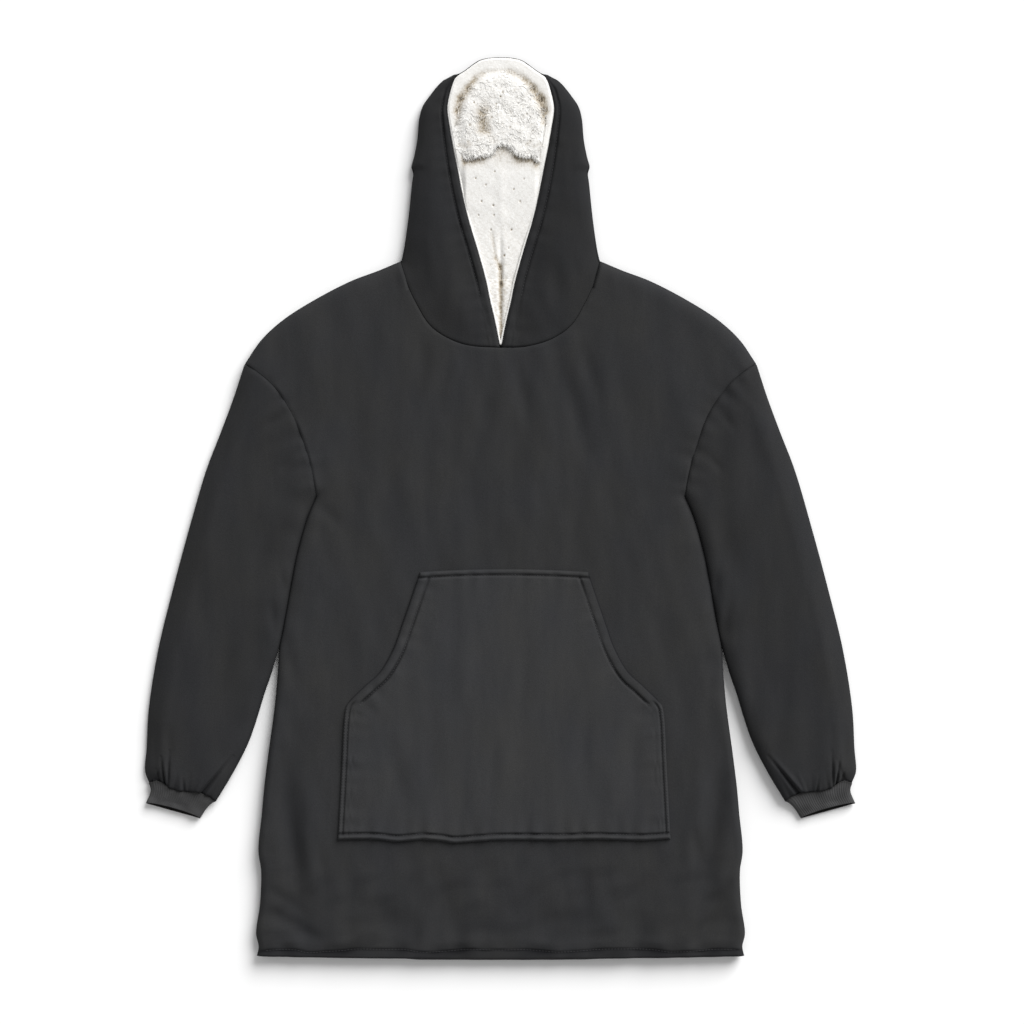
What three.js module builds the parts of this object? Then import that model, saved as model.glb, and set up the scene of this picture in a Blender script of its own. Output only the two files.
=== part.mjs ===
// A wearable blanket hoodie: plush-lined cloth, pulled over the head, with a kangaroo pocket.
// It lies flat on its back as it was laid out, so its panels rest on each other.
// Millimetres. +X runs across, +Y from the hem towards the hood, +Z up from the surface below.
// Left and right are the wearer's, so the left sleeve lies at +X.
import * as THREE from "three";

// Driving dimensions of the garment as laid out
const HEM_Y = -618; // lowest point of the hem, at the middle of the front
const HEM_CORNER_LIFT = 4; // the hem's corners lie this much above its middle
const SHOULDER_Y = 198; // where the shoulder line meets the armhole seam
const SHOULDER_HALF = 350; // half the width across the dropped shoulders
const NECK_HALF = 137; // half the width of the neck, where hood meets shoulder
const CROWN_Y = 618; // top of the hood

// Heights of the layers
const MIDDLE_Z = 10; // the plane where the front layers lie on the back layers
const TOP_Z = 20; // outer face of the front where it lies flat
const SEAM_GAP = 0.3; // between pieces that are sewn together
const SEAM_CLEAR = 0.38; // the same beside a curved seam, whose facets cut its corners
const SEAM_CLOTH = 1.4; // thickness of one panel at a seam along the outline
const EDGE_REACH = 20; // how far in from the outline the plush cloth rounds over
const SHELL = 2; // cloth of the hood's back, without its lining

const LEFT = 1;
const RIGHT = -1;

// Half-widths of the body at each height, up the side seam
const SIDE_SEAM = [
  { half: 331, y: -614 },
  { half: 333, y: -585 },
  { half: 328, y: -543 },
  { half: 326, y: -497 },
  { half: 330, y: -470 },
  { half: 325, y: -420 },
  { half: 318, y: -338 },
  { half: 309, y: -270 },
  { half: 305, y: -222 },
  { half: 303.2, y: -192 },
  { half: 298.8, y: -170 },
  { half: 293.3, y: -140 },
  { half: 284.8, y: -92 },
  { half: 278.4, y: -61 },
  { half: 265.8, y: -16 },
  { half: 253, y: 15 },
];
const ARMHOLE = [
  { half: 253, y: 15 },
  { half: 259, y: 52 },
  { half: 271, y: 93 },
  { half: 289, y: 134 },
  { half: 313, y: 168 },
  { half: SHOULDER_HALF, y: SHOULDER_Y },
];
const SHOULDER = [
  { half: SHOULDER_HALF, y: SHOULDER_Y },
  { half: 328, y: 230 },
  { half: 299, y: 257 },
  { half: 257, y: 284 },
  { half: 205, y: 311 },
  { half: 168, y: 325 },
  { half: NECK_HALF, y: 338 },
];
const FRONT_NECK = [
  { half: NECK_HALF, y: 338 },
  { half: 128, y: 307 },
  { half: 114, y: 277 },
  { half: 97, y: 250 },
  { half: 72, y: 232 },
  { half: 42, y: 222 },
  { half: 0, y: 219 },
];
const BACK_NECK = [
  { half: NECK_HALF, y: 338 },
  { half: 112, y: 325 },
  { half: 72, y: 313 },
  { half: 36, y: 308 },
  { half: 0, y: 306 },
];

// Columns of a body panel, as shares of its half-width, and rows, from the hem to the shoulder
const FRONT_COLUMNS = [0, 0.08, 0.16, 0.24, 0.31, 0.36, NECK_HALF / SHOULDER_HALF,
  0.47, 0.57, 0.68, 0.78, 0.86, 0.92, 0.96, 0.985, 1];
const BACK_COLUMNS = [0, 0.2, 0.31, NECK_HALF / SHOULDER_HALF, 0.65, 0.88, 0.96, 0.99, 1];
const HEM_ROWS = [0, 3, 7, 11, 15, 19, 28, 45];
const BODY_ROW_STEP = 33;
// Shares of the armhole where the body's rows and the sleeve's columns meet
const ARMHOLE_SHARES = [0, 0.025, 0.08, 0.18, 0.33, 0.5, 0.67, 0.82, 0.92, 0.975, 1];

// Soft folds of the front, as troughs from one end to the other, alike on both sides
const FRONT_FOLDS = [
  { x1: 296, y1: -340, x2: 272, y2: -596, width: 17, depth: 4.5 },
  { x1: 120, y1: 228, x2: 146, y2: 60, width: 20, depth: 2.2 },
  { x1: 30, y1: 205, x2: 88, y2: 0, width: 22, depth: 1.8 },
  { x1: 250, y1: 60, x2: 196, y2: -70, width: 18, depth: 2.5 },
  { x1: 262, y1: -60, x2: 246, y2: -210, width: 15, depth: 2.5 },
  { x1: 160, y1: 300, x2: 240, y2: 210, width: 22, depth: 2 },
  { x1: 0, y1: -528, x2: 190, y2: -518, width: 30, depth: 2.8 },
  { x1: 236, y1: -490, x2: 262, y2: -560, width: 16, depth: 2 },
];

const charcoal = { color: 0x333434, roughness: 0.92, metalness: 0 };

function curveThrough(table) {
  const points = table.map((row) => new THREE.Vector3(row.half, row.y, 0));
  return new THREE.CatmullRomCurve3(points, false, "centripetal");
}

// The point of a curve whose coordinate on one axis has a value, where it runs one way along that axis
function pointWhere(curve, axis, value) {
  let low = 0;
  let high = 1;
  const rising = curve.getPoint(1)[axis] > curve.getPoint(0)[axis];
  for (let step = 0; step < 40; step++) {
    const middle = (low + high) / 2;
    const before = curve.getPoint(middle)[axis] < value === rising;
    if (before) low = middle;
    else high = middle;
  }
  return curve.getPoint((low + high) / 2);
}

function lineOf(curve, steps = 48) {
  return curve.getSpacedPoints(steps);
}

function distanceTo(line, x, y) {
  let least = Infinity;
  for (let k = 1; k < line.length; k++) {
    const a = line[k - 1];
    const b = line[k];
    const length2 = (b.x - a.x) ** 2 + (b.y - a.y) ** 2;
    const share = ((x - a.x) * (b.x - a.x) + (y - a.y) * (b.y - a.y)) / length2;
    const t = THREE.MathUtils.clamp(share, 0, 1);
    least = Math.min(least, Math.hypot(x - a.x - t * (b.x - a.x), y - a.y - t * (b.y - a.y)));
  }
  return least;
}

// The points of a line, moved to its right by a distance, for what is sewn to it there
function beside(points, distance) {
  return points.map((p, k) => {
    const before = points[Math.max(0, k - 1)];
    const after = points[Math.min(points.length - 1, k + 1)];
    const run = new THREE.Vector2(after.x - before.x, after.y - before.y).normalize();
    return new THREE.Vector2(p.x + run.y * distance, p.y - run.x * distance);
  });
}

// From 0 at an edge to 1 at its reach, round as a rolled edge is
function rounded(distance, reach) {
  const t = THREE.MathUtils.clamp(distance / reach, 0, 1);
  return Math.sqrt(1 - (1 - t) ** 2);
}

function dip(distance, width) {
  return Math.exp(-((distance / width) ** 2));
}

// How deep the soft folds of a table are at a point, fading out at both ends of each
function foldDepth(folds, x, y) {
  let depth = 0;
  for (const fold of folds) {
    const dx = fold.x2 - fold.x1;
    const dy = fold.y2 - fold.y1;
    const length = Math.hypot(dx, dy);
    const along = ((x - fold.x1) * dx + (y - fold.y1) * dy) / length;
    const off = ((x - fold.x1) * dy - (y - fold.y1) * dx) / length;
    const past = Math.max(0, -along, along - length);
    const middle = Math.sin(Math.PI * THREE.MathUtils.clamp(along / length, 0.12, 0.88));
    depth += fold.depth * middle * dip(Math.hypot(off, past), fold.width);
  }
  return depth;
}

// Fills the space between four edges: left and right hold a point for each row, bottom and top
// one for each column, and across and along are the columns' and rows' shares from 0 to 1.
// The rows take up the shape of the top the later, the higher topFade is.
function fillBetween({ left, right, bottom, top, across, along, topFade = 1 }) {
  const last = along.length - 1;
  return along.map((v, i) =>
    across.map((u, j) => {
      const blend = (axis) => {
        const sides = (1 - u) * left[i][axis] + u * right[i][axis];
        const foot = bottom[j][axis] - (1 - u) * left[0][axis] - u * right[0][axis];
        const head = top[j][axis] - (1 - u) * left[last][axis] - u * right[last][axis];
        return sides + (1 - v) * foot + v ** topFade * head;
      };
      return new THREE.Vector2(blend("x"), blend("y"));
    }),
  );
}

function raise(grid, height) {
  return grid.map((row, i) => row.map((p, j) => new THREE.Vector3(p.x, p.y, height(p.x, p.y, i, j))));
}

function geometryOf(points, triangles) {
  let volume = 0;
  for (const [a, b, c] of triangles) {
    volume += points[a].dot(new THREE.Vector3().crossVectors(points[b], points[c]));
  }
  const facing = volume > 0 ? triangles : triangles.map(([a, b, c]) => [a, c, b]);
  const geometry = new THREE.BufferGeometry().setFromPoints(points);
  geometry.setIndex(facing.flat());
  geometry.computeVertexNormals();
  return geometry;
}

function gridTriangles(rows, columns, first, tube, flip) {
  const triangles = [];
  const spans = tube ? columns : columns - 1;
  for (let i = 0; i < rows - 1; i++) {
    for (let j = 0; j < spans; j++) {
      const next = (j + 1) % columns;
      const a = first + i * columns + j;
      const b = first + i * columns + next;
      const c = first + (i + 1) * columns + next;
      const d = first + (i + 1) * columns + j;
      if (flip) triangles.push([a, c, b], [a, d, c]);
      else triangles.push([a, b, c], [a, c, d]);
    }
  }
  return triangles;
}

// The grid's outer ring of indices, in order round it
function ringOf(rows, columns) {
  const ring = [];
  for (let j = 0; j < columns; j++) ring.push(j);
  for (let i = 1; i < rows; i++) ring.push(i * columns + columns - 1);
  for (let j = columns - 2; j >= 0; j--) ring.push((rows - 1) * columns + j);
  for (let i = rows - 2; i > 0; i--) ring.push(i * columns);
  return ring;
}

// A wall of cloth between an outer and an inner grid of points. A tube's columns join round.
function wallBetween(outer, inner, tube = false) {
  const rows = outer.length;
  const columns = outer[0].length;
  const count = rows * columns;
  const points = [...outer.flat(), ...inner.flat()];
  const triangles = [
    ...gridTriangles(rows, columns, 0, tube, false),
    ...gridTriangles(rows, columns, count, tube, true),
  ];
  const join = (a, b) => triangles.push([a, b + count, b], [a, a + count, b + count]);
  if (tube) {
    for (let j = 0; j < columns; j++) {
      const next = (j + 1) % columns;
      join(j, next);
      join((rows - 1) * columns + next, (rows - 1) * columns + j);
    }
  } else {
    const ring = ringOf(rows, columns);
    ring.forEach((a, k) => join(a, ring[(k + 1) % ring.length]));
  }
  return geometryOf(points, triangles);
}

// A panel whose inner face is the flat plane where it lies on the layer below or above
function panelOnPlane(outer, planeZ) {
  const rows = outer.length;
  const columns = outer[0].length;
  const points = outer.flat();
  const count = points.length;
  const triangles = gridTriangles(rows, columns, 0, false, false);
  const ring = ringOf(rows, columns);
  const flat = ring.map((k) => new THREE.Vector2(points[k].x, points[k].y));
  flat.forEach((p) => points.push(new THREE.Vector3(p.x, p.y, planeZ)));
  ring.forEach((a, k) => {
    const next = (k + 1) % ring.length;
    triangles.push([a, count + next, ring[next]], [a, count + k, count + next]);
  });
  for (const [a, b, c] of THREE.ShapeUtils.triangulateShape(flat, [])) {
    triangles.push([count + a, count + c, count + b]);
  }
  return geometryOf(points, triangles);
}

function mirrorX(grid) {
  return grid.map((row) => row.map((p) => p.clone().setX(-p.x)));
}

function sheetOfCloth(name, geometry, look = charcoal) {
  const mesh = new THREE.Mesh(geometry, new THREE.MeshStandardMaterial(look));
  mesh.name = name;
  return mesh;
}

// Body: front and back panels, sewn to each other down the sides and along the shoulders
const sideCurve = curveThrough(SIDE_SEAM);
const armholeCurve = curveThrough(ARMHOLE);
const shoulderCurve = curveThrough(SHOULDER);
const frontNeckCurve = curveThrough(FRONT_NECK);
const backNeckCurve = curveThrough(BACK_NECK);
const HEM_CORNER_Y = HEM_Y + HEM_CORNER_LIFT;
const ARMPIT_Y = ARMHOLE[0].y;

function bodyRows() {
  const rows = HEM_ROWS.map((d) => HEM_CORNER_Y + d);
  const start = rows.at(-1);
  const steps = Math.round((ARMPIT_Y - start) / BODY_ROW_STEP);
  for (let k = 1; k <= steps; k++) rows.push(start + ((ARMPIT_Y - start) * k) / steps);
  const points = rows.map((y) => pointWhere(sideCurve, "y", y));
  return [...points, ...ARMHOLE_SHARES.slice(1).map((v) => armholeCurve.getPointAt(v))];
}

function topPoint(share, neckCurve) {
  const half = share * SHOULDER_HALF;
  if (half === 0) return neckCurve.getPoint(1);
  const curve = half < NECK_HALF ? neckCurve : shoulderCurve;
  return pointWhere(curve, "x", half);
}

// The plan of a body panel. Its rows end at the same points of the outline on front and back.
function bodyPlan(columns, neckCurve) {
  const right = bodyRows();
  const left = right.map((p) => p.clone().setX(-p.x));
  const shares = [...columns.slice(1).reverse().map((s) => -s), ...columns];
  const hemPoint = (s) => new THREE.Vector2(s * right[0].x, HEM_Y + HEM_CORNER_LIFT * s * s);
  const top = shares.map((s) => {
    const p = topPoint(Math.abs(s), neckCurve);
    return new THREE.Vector2(Math.sign(s) * p.x, p.y);
  });
  const across = shares.map((s) => (s + 1) / 2);
  const along = right.map((p) => (p.y - HEM_CORNER_Y) / (SHOULDER_Y - HEM_CORNER_Y));
  return fillBetween({ left, right, bottom: shares.map(hemPoint), top, across, along, topFade: 4 });
}

const sideLine = lineOf(sideCurve);
const shoulderLine = lineOf(shoulderCurve);
const armholeLine = lineOf(armholeCurve);
const frontNeckLine = lineOf(frontNeckCurve);
const backNeckLine = lineOf(backNeckCurve);

// The hem is turned and stitched, so the cloth below the stitching swells into a roll
const HEM_ROLL = 15;
const HEM_GROOVE = 5.5;
const SEAM_DIP = 3.5;
const SEAM_DIP_WIDTH = 7;

function hemShare(distance) {
  return rounded(distance + 1, HEM_ROLL / 2);
}

function frontHeight(x, y) {
  const half = Math.abs(x);
  const fromOutline = Math.min(distanceTo(sideLine, half, y), distanceTo(shoulderLine, half, y));
  const fromSeam = Math.min(distanceTo(armholeLine, half, y), distanceTo(frontNeckLine, half, y));
  const fromHem = y - HEM_Y - HEM_CORNER_LIFT * (half / SIDE_SEAM[0].half) ** 2;
  const full = TOP_Z - MIDDLE_Z - SEAM_CLOTH;
  const swell = full * rounded(fromOutline, EDGE_REACH) * hemShare(fromHem);
  const relief = SEAM_DIP * dip(fromSeam, SEAM_DIP_WIDTH) + foldDepth(FRONT_FOLDS, half, y);
  const groove = HEM_GROOVE * dip(fromHem - HEM_ROLL, 3.5);
  const lowered = Math.min(swell, (relief + groove) * rounded(fromOutline, EDGE_REACH));
  return MIDDLE_Z + SEAM_CLOTH + swell - lowered;
}

function backHeight(x, y) {
  const half = Math.abs(x);
  const fromOutline = Math.min(distanceTo(sideLine, half, y), distanceTo(shoulderLine, half, y));
  const fromHem = y - HEM_Y - HEM_CORNER_LIFT * (half / SIDE_SEAM[0].half) ** 2;
  return (MIDDLE_Z - SEAM_CLOTH) * (1 - rounded(fromOutline, EDGE_REACH) * hemShare(fromHem));
}

const frontPlan = bodyPlan(FRONT_COLUMNS, frontNeckCurve);
const backPlan = bodyPlan(BACK_COLUMNS, backNeckCurve);

function bodyFront() {
  return panelOnPlane(raise(frontPlan, frontHeight), MIDDLE_Z + SEAM_GAP / 2);
}

function bodyBack() {
  return panelOnPlane(raise(backPlan, backHeight), MIDDLE_Z - SEAM_GAP / 2);
}

// Sleeves: each one panel folded along its outer edge and closed by the underarm seam
const SLEEVE_OUTER = [
  { half: 350.5, y: 198.3 },
  { half: 365, y: 155 },
  { half: 384, y: 104 },
  { half: 404, y: 52 },
  { half: 428, y: -30 },
  { half: 450, y: -112 },
  { half: 470, y: -194 },
  { half: 483, y: -276 },
  { half: 486, y: -330 },
  { half: 488, y: -362 },
  { half: 482.5, y: -377 },
];
const SLEEVE_INNER = [
  { half: 254, y: 13 },
  { half: 267.2, y: -16 },
  { half: 279.9, y: -61 },
  { half: 286.3, y: -92 },
  { half: 294.8, y: -140 },
  { half: 300.3, y: -170 },
  { half: 304.8, y: -192 },
  { half: 317, y: -236 },
  { half: 322, y: -250 },
  { half: 344, y: -318 },
  { half: 366, y: -362 },
  { half: 390, y: -402 },
];
const SLEEVE_ROWS = [0, 0.02, 0.06, 0.14, 0.24, 0.34, 0.44, 0.54, 0.64, 0.73, 0.81, 0.87, 0.92,
  0.96, 0.985, 1];
const SLEEVE_SLOT = 0.6; // half the space between the sleeve's two layers
const SLEEVE_CLOTH = 9; // how far the sleeve's hollow stays inside its outline
const CUFF_END_Z = 14.5;
const GATHERS = [
  { share: 0.16, depth: 3.2, reach: 70 },
  { share: 0.42, depth: 2.2, reach: 34 },
  { share: 0.63, depth: 3.4, reach: 52 },
  { share: 0.86, depth: 2.8, reach: 44 },
];
const SLEEVE_FOLDS = [
  { x1: 300, y1: 20, x2: 350, y2: -120, width: 22, depth: 2.2 },
  { x1: 362, y1: -150, x2: 402, y2: -300, width: 22, depth: 1.8 },
  { x1: 330, y1: 130, x2: 372, y2: 20, width: 20, depth: 1.4 },
];

function sleevePlan() {
  const bottom = beside(bodyRows().slice(-ARMHOLE_SHARES.length), SEAM_CLEAR);
  const innerCurve = curveThrough(SLEEVE_INNER);
  const outerCurve = curveThrough(SLEEVE_OUTER);
  const left = SLEEVE_ROWS.map((v) => innerCurve.getPointAt(v));
  const right = SLEEVE_ROWS.map((v) => outerCurve.getPointAt(v));
  left[0] = bottom[0];
  right[0] = bottom.at(-1);
  const across = ARMHOLE_SHARES;
  const top = across.map((u) => new THREE.Vector2().lerpVectors(left.at(-1), right.at(-1), u));
  return fillBetween({ left, right, bottom, top, across, along: SLEEVE_ROWS });
}

const sleeveGrid = sleevePlan();
const sleeveInnerLine = sleeveGrid.map((row) => row[0]);
const sleeveOuterLine = sleeveGrid.map((row) => row.at(-1));
const sleeveEndLine = sleeveGrid.at(-1);

function gatherDepth(x, y) {
  const fromEnd = distanceTo(sleeveEndLine, x, y);
  const first = sleeveEndLine[0];
  const last = sleeveEndLine.at(-1);
  const width = first.distanceTo(last);
  const run = new THREE.Vector2().subVectors(last, first).divideScalar(width);
  const share = ((x - first.x) * run.x + (y - first.y) * run.y) / width;
  let depth = 0;
  for (const gather of GATHERS) {
    const fan = gather.share + (0.35 * (0.5 - gather.share) * -fromEnd) / 60;
    depth += gather.depth * dip(share - fan, 0.07) * Math.max(0, 1 - fromEnd / gather.reach);
  }
  return depth;
}

function sleeveTop(x, y) {
  const fromOutline = Math.min(distanceTo(sleeveInnerLine, x, y), distanceTo(sleeveOuterLine, x, y));
  const fromSeam = distanceTo(armholeLine, x, y);
  const fromEnd = distanceTo(sleeveEndLine, x, y);
  const end = CUFF_END_Z - MIDDLE_Z + (TOP_Z + 1 - CUFF_END_Z) * rounded(fromEnd, 26);
  const relief = SEAM_DIP * dip(fromSeam, SEAM_DIP_WIDTH) + foldDepth(SLEEVE_FOLDS, x, y);
  const swell = (end - relief - gatherDepth(x, y)) * rounded(fromOutline, EDGE_REACH);
  return MIDDLE_Z + Math.max(swell, 0);
}

function sleeveUnder(x, y) {
  const fromOutline = Math.min(distanceTo(sleeveInnerLine, x, y), distanceTo(sleeveOuterLine, x, y));
  const fromEnd = distanceTo(sleeveEndLine, x, y);
  const end = MIDDLE_Z - 3 + 3 * rounded(fromEnd, 18);
  return MIDDLE_Z - end * rounded(fromOutline, EDGE_REACH);
}

// The columns of a laid tube run over its top from the inner edge, then back underneath
function laidTube(plan, topZ, underZ, slot, inset) {
  const lastColumn = plan[0].length - 1;
  const outer = plan.map((row) => [
    ...row.map((p, j) => {
      const edge = j === 0 || j === lastColumn;
      return new THREE.Vector3(p.x, p.y, edge ? MIDDLE_Z : topZ(p.x, p.y));
    }),
    ...row.slice(1, -1).reverse().map((p) => new THREE.Vector3(p.x, p.y, underZ(p.x, p.y))),
  ]);
  const inner = plan.map((row) => {
    const width = row[0].distanceTo(row.at(-1));
    const keep = 1 - (2 * inset) / width;
    const middle = new THREE.Vector2().lerpVectors(row[0], row.at(-1), 0.5);
    const place = (p, z) => new THREE.Vector3(
      middle.x + (p.x - middle.x) * keep, middle.y + (p.y - middle.y) * keep, z);
    const over = row.map((p, j) => place(p, j === 0 || j === lastColumn ? MIDDLE_Z : MIDDLE_Z + slot));
    const under = row.slice(1, -1).reverse().map((p) => place(p, MIDDLE_Z - slot));
    return [...over, ...under];
  });
  return { outer, inner };
}

function sleeve(side) {
  const { outer, inner } = laidTube(sleeveGrid, sleeveTop, sleeveUnder, SLEEVE_SLOT, SLEEVE_CLOTH);
  if (side === LEFT) return wallBetween(outer, inner, true);
  return wallBetween(mirrorX(outer), mirrorX(inner), true);
}

// Cuffs: a band of rib knit round each wrist, which pulls the sleeve's end in
const CUFF_OUTER = [
  { half: 482.4, y: -377.6 },
  { half: 480, y: -387 },
  { half: 487, y: -405.5 },
];
const CUFF_INNER = [
  { half: 389.9, y: -402.6 },
  { half: 400, y: -412 },
  { half: 413, y: -426.5 },
];
const CUFF_ROWS = [0, 0.2, 0.45, 0.75, 0.92, 1];
const CUFF_COLUMNS = [0, 0.015, 0.05, 0.11, 0.25, 0.5, 0.75, 0.89, 0.95, 0.985, 1];
const CUFF_THICK = 9.6; // the cuff's two layers and the space between them
const CUFF_SLOT = 1.7; // half that space
const CUFF_SEAM_Z = 9;
const CUFF_REST_Z = 5;

// Along a cuff from its seam, the height of its middle: it sinks to the surface
function cuffMiddle(v) {
  return THREE.MathUtils.lerp(CUFF_SEAM_Z, CUFF_REST_Z, THREE.MathUtils.smoothstep(v, 0, 0.7));
}

function cuff(side) {
  const inner = curveThrough(CUFF_INNER);
  const outer = curveThrough(CUFF_OUTER);
  const section = (v, inset, halfThick) => {
    const from = inner.getPointAt(v);
    const to = outer.getPointAt(v);
    const width = from.distanceTo(to);
    const place = (u, up) => {
      const share = (inset + u * (width - 2 * inset)) / width;
      const p = new THREE.Vector3().lerpVectors(from, to, share);
      const lift = halfThick * rounded(Math.min(u, 1 - u) * (width - 2 * inset), 9 - inset);
      return p.setZ(cuffMiddle(v) + (up ? lift : -lift));
    };
    return [
      ...CUFF_COLUMNS.map((u) => place(u, true)),
      ...CUFF_COLUMNS.slice(1, -1).reverse().map((u) => place(u, false)),
    ];
  };
  const outside = CUFF_ROWS.map((v) => section(v, 0, CUFF_THICK / 2));
  const inside = CUFF_ROWS.map((v) => section(v, 3.4, CUFF_SLOT));
  if (side === LEFT) return wallBetween(outside, inside, true);
  return wallBetween(mirrorX(outside), mirrorX(inside), true);
}

// Pocket: one panel laid on the front, open down both slanted edges, with its edges turned
// and stitched and a rolled lip along the bottom. It sits a little towards the wearer's left.
const POCKET_X = 5;
const POCKET_TOP_HALF = 115;
const POCKET_TOP_Y = -87.5;
const POCKET_TOP_BOW = 4;
const POCKET_BOTTOM_Y = -453;
const POCKET_BOTTOM_BOW = 3.5;
const POCKET_SIDE = [
  { half: 227.5, y: -453 },
  { half: 227, y: -444 },
  { half: 222, y: -350 },
  { half: 218.5, y: -285 },
  { half: 215, y: -269 },
  { half: 191, y: -243.5 },
  { half: 170, y: -224 },
  { half: 151, y: -191 },
  { half: 140, y: -160 },
  { half: 126.5, y: -121 },
  { half: POCKET_TOP_HALF, y: POCKET_TOP_Y },
];
const POCKET_COLUMNS = [0, 0.2, 0.4, 0.58, 0.72, 0.82, 0.88, 0.915, 0.94, 0.965, 0.985, 1];
const POCKET_ROWS = [0, 0.008, 0.018, 0.026, 0.034, 0.06, 0.12, 0.2, 0.28, 0.36, 0.43, 0.5, 0.57,
  0.64, 0.71, 0.78, 0.85, 0.91, 0.95, 0.968, 0.984, 0.994, 1];
const POCKET_CLOTH = 5;
const POCKET_BAND = 14; // width of the turned edge along the openings
const POCKET_TOP_BAND = 8;
const POCKET_LIP = 8;
const POCKET_FOLDS = [
  { x1: 60, y1: -110, x2: 84, y2: -300, width: 20, depth: 1 },
  { x1: 24, y1: -230, x2: 30, y2: -430, width: 18, depth: 0.9 },
  { x1: 150, y1: -260, x2: 120, y2: -420, width: 18, depth: 1.1 },
];

function pocket() {
  const sideCurve = curveThrough(POCKET_SIDE);
  const right = POCKET_ROWS.map((v) => sideCurve.getPointAt(v));
  const left = right.map((p) => p.clone().setX(-p.x));
  const shares = [...POCKET_COLUMNS.slice(1).reverse().map((s) => -s), ...POCKET_COLUMNS];
  const bottomHalf = POCKET_SIDE[0].half;
  const bottom = shares.map((s) => new THREE.Vector2(
    s * bottomHalf, POCKET_BOTTOM_Y - POCKET_BOTTOM_BOW * (1 - s * s)));
  const top = shares.map((s) => new THREE.Vector2(
    s * POCKET_TOP_HALF, POCKET_TOP_Y + POCKET_TOP_BOW * (1 - s * s)));
  const across = shares.map((s) => (s + 1) / 2);
  const along = right.map((p) => (p.y - POCKET_BOTTOM_Y) / (POCKET_TOP_Y - POCKET_BOTTOM_Y));
  const plan = fillBetween({ left, right, bottom, top, across, along });
  const sides = lineOf(sideCurve, 96);
  const height = (x, y) => {
    const half = Math.abs(x);
    const fromSide = distanceTo(sides, half, y);
    const fromBottom = y - POCKET_BOTTOM_Y + POCKET_BOTTOM_BOW * (1 - (half / bottomHalf) ** 2);
    const fromTop = POCKET_TOP_Y + POCKET_TOP_BOW * (1 - (half / POCKET_TOP_HALF) ** 2) - y;
    const nearest = Math.max(0, Math.min(fromSide, fromBottom, fromTop));
    const stitched = 1.4 * dip(fromSide - POCKET_BAND, 3)
      + 1.4 * dip(fromTop - POCKET_TOP_BAND, 2.5)
      + 2.2 * dip(fromBottom - POCKET_LIP, 3);
    const lip = 1.6 * dip(fromBottom - POCKET_LIP / 2, 4);
    const swell = POCKET_CLOTH + lip - stitched - foldDepth(POCKET_FOLDS, half, y);
    return TOP_Z + SEAM_GAP + 0.8 + (swell - 0.8) * rounded(nearest, 4);
  };
  const grid = raise(plan, height);
  grid.forEach((row) => row.forEach((p) => p.setX(p.x + POCKET_X)));
  return panelOnPlane(grid, TOP_Z + SEAM_GAP);
}

// Hood: two side panels, sewn to each other down the middle of the back. Each runs out along
// the surface, folds at the outline and comes back over the top to the edge of the face opening.
const HOOD_SIDE = [
  { half: 136.4, y: 338.3 },
  { half: 133, y: 353 },
  { half: 127, y: 394 },
  { half: 121.5, y: 446 },
  { half: 120, y: 459 },
  { half: 122.3, y: 468 },
  { half: 119, y: 481 },
  { half: 114.5, y: 504 },
  { half: 111.5, y: 535 },
  { half: 107, y: 551 },
  { half: 97, y: 566 },
  { half: 84, y: 582 },
  { half: 73, y: 591 },
  { half: 64, y: 594.5 },
];
const HOOD_CROWN = [
  { half: 64, y: 594.5 },
  { half: 57, y: 595.5 },
  { half: 50, y: 599.5 },
  { half: 40, y: 607 },
  { half: 29, y: 614 },
  { half: 14, y: 617.3 },
  { half: 0, y: CROWN_Y },
];
const OPENING_SIDE = [
  { half: 0.5, y: 220 },
  { half: 8, y: 257 },
  { half: 14.4, y: 284 },
  { half: 20, y: 311 },
  { half: 31.4, y: 352.7 },
  { half: 43.7, y: 393.7 },
  { half: 53.3, y: 434.7 },
  { half: 60.8, y: 475.7 },
  { half: 68.4, y: 516.7 },
  { half: 72.5, y: 546 },
  { half: 70.4, y: 561 },
  { half: 64.5, y: 582 },
  { half: 61, y: 589 },
];
const OPENING_CROWN = [
  { half: 61, y: 589 },
  { half: 55.4, y: 593 },
  { half: 48.3, y: 597.6 },
  { half: 38.6, y: 604.8 },
  { half: 28, y: 611.5 },
  { half: 13.6, y: 614.8 },
  { half: 0, y: 615.4 },
];
const HOOD_SIDE_ROWS = [0, 0.06, 0.14, 0.24, 0.33, 0.41, 0.47, 0.53, 0.61, 0.7, 0.79, 0.87, 0.94];
const HOOD_CROWN_ROWS = [0, 0.16, 0.36, 0.58, 0.8, 1];
const HOOD_BACK_COLUMNS = [0, 0.4, 0.72, 0.87, 0.94, 0.975, 0.995];
const HOOD_OVER_COLUMNS = [0, 0.04, 0.11, 0.24, 0.44, 0.68, 0.88];
const CASING = 16; // width of the hem round the face opening
const CASING_DEPTHS = [22, 16, 12, 5, 1.5, 0];
const HOOD_BACK_TOP_Y = 540; // the back's rows fan out from the middle seam up to here
const HOOD_FOLD_Z = 9;
const HOOD_UNDER_Z = 11.3; // underside of the hood where it lies on its lining
const HOOD_EDGE_Z = 21;
const HOOD_CREST_Z = 27;
const HOOD_FOLDS = [
  { x1: 98, y1: 560, x2: 104, y2: 400, width: 13, depth: 1.8 },
  { x1: 66, y1: 350, x2: 84, y2: 262, width: 14, depth: 2 },
  { x1: 118, y1: 470, x2: 96, y2: 452, width: 8, depth: 2.6 },
  { x1: 120, y1: 330, x2: 96, y2: 430, width: 16, depth: 1.8 },
];

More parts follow.
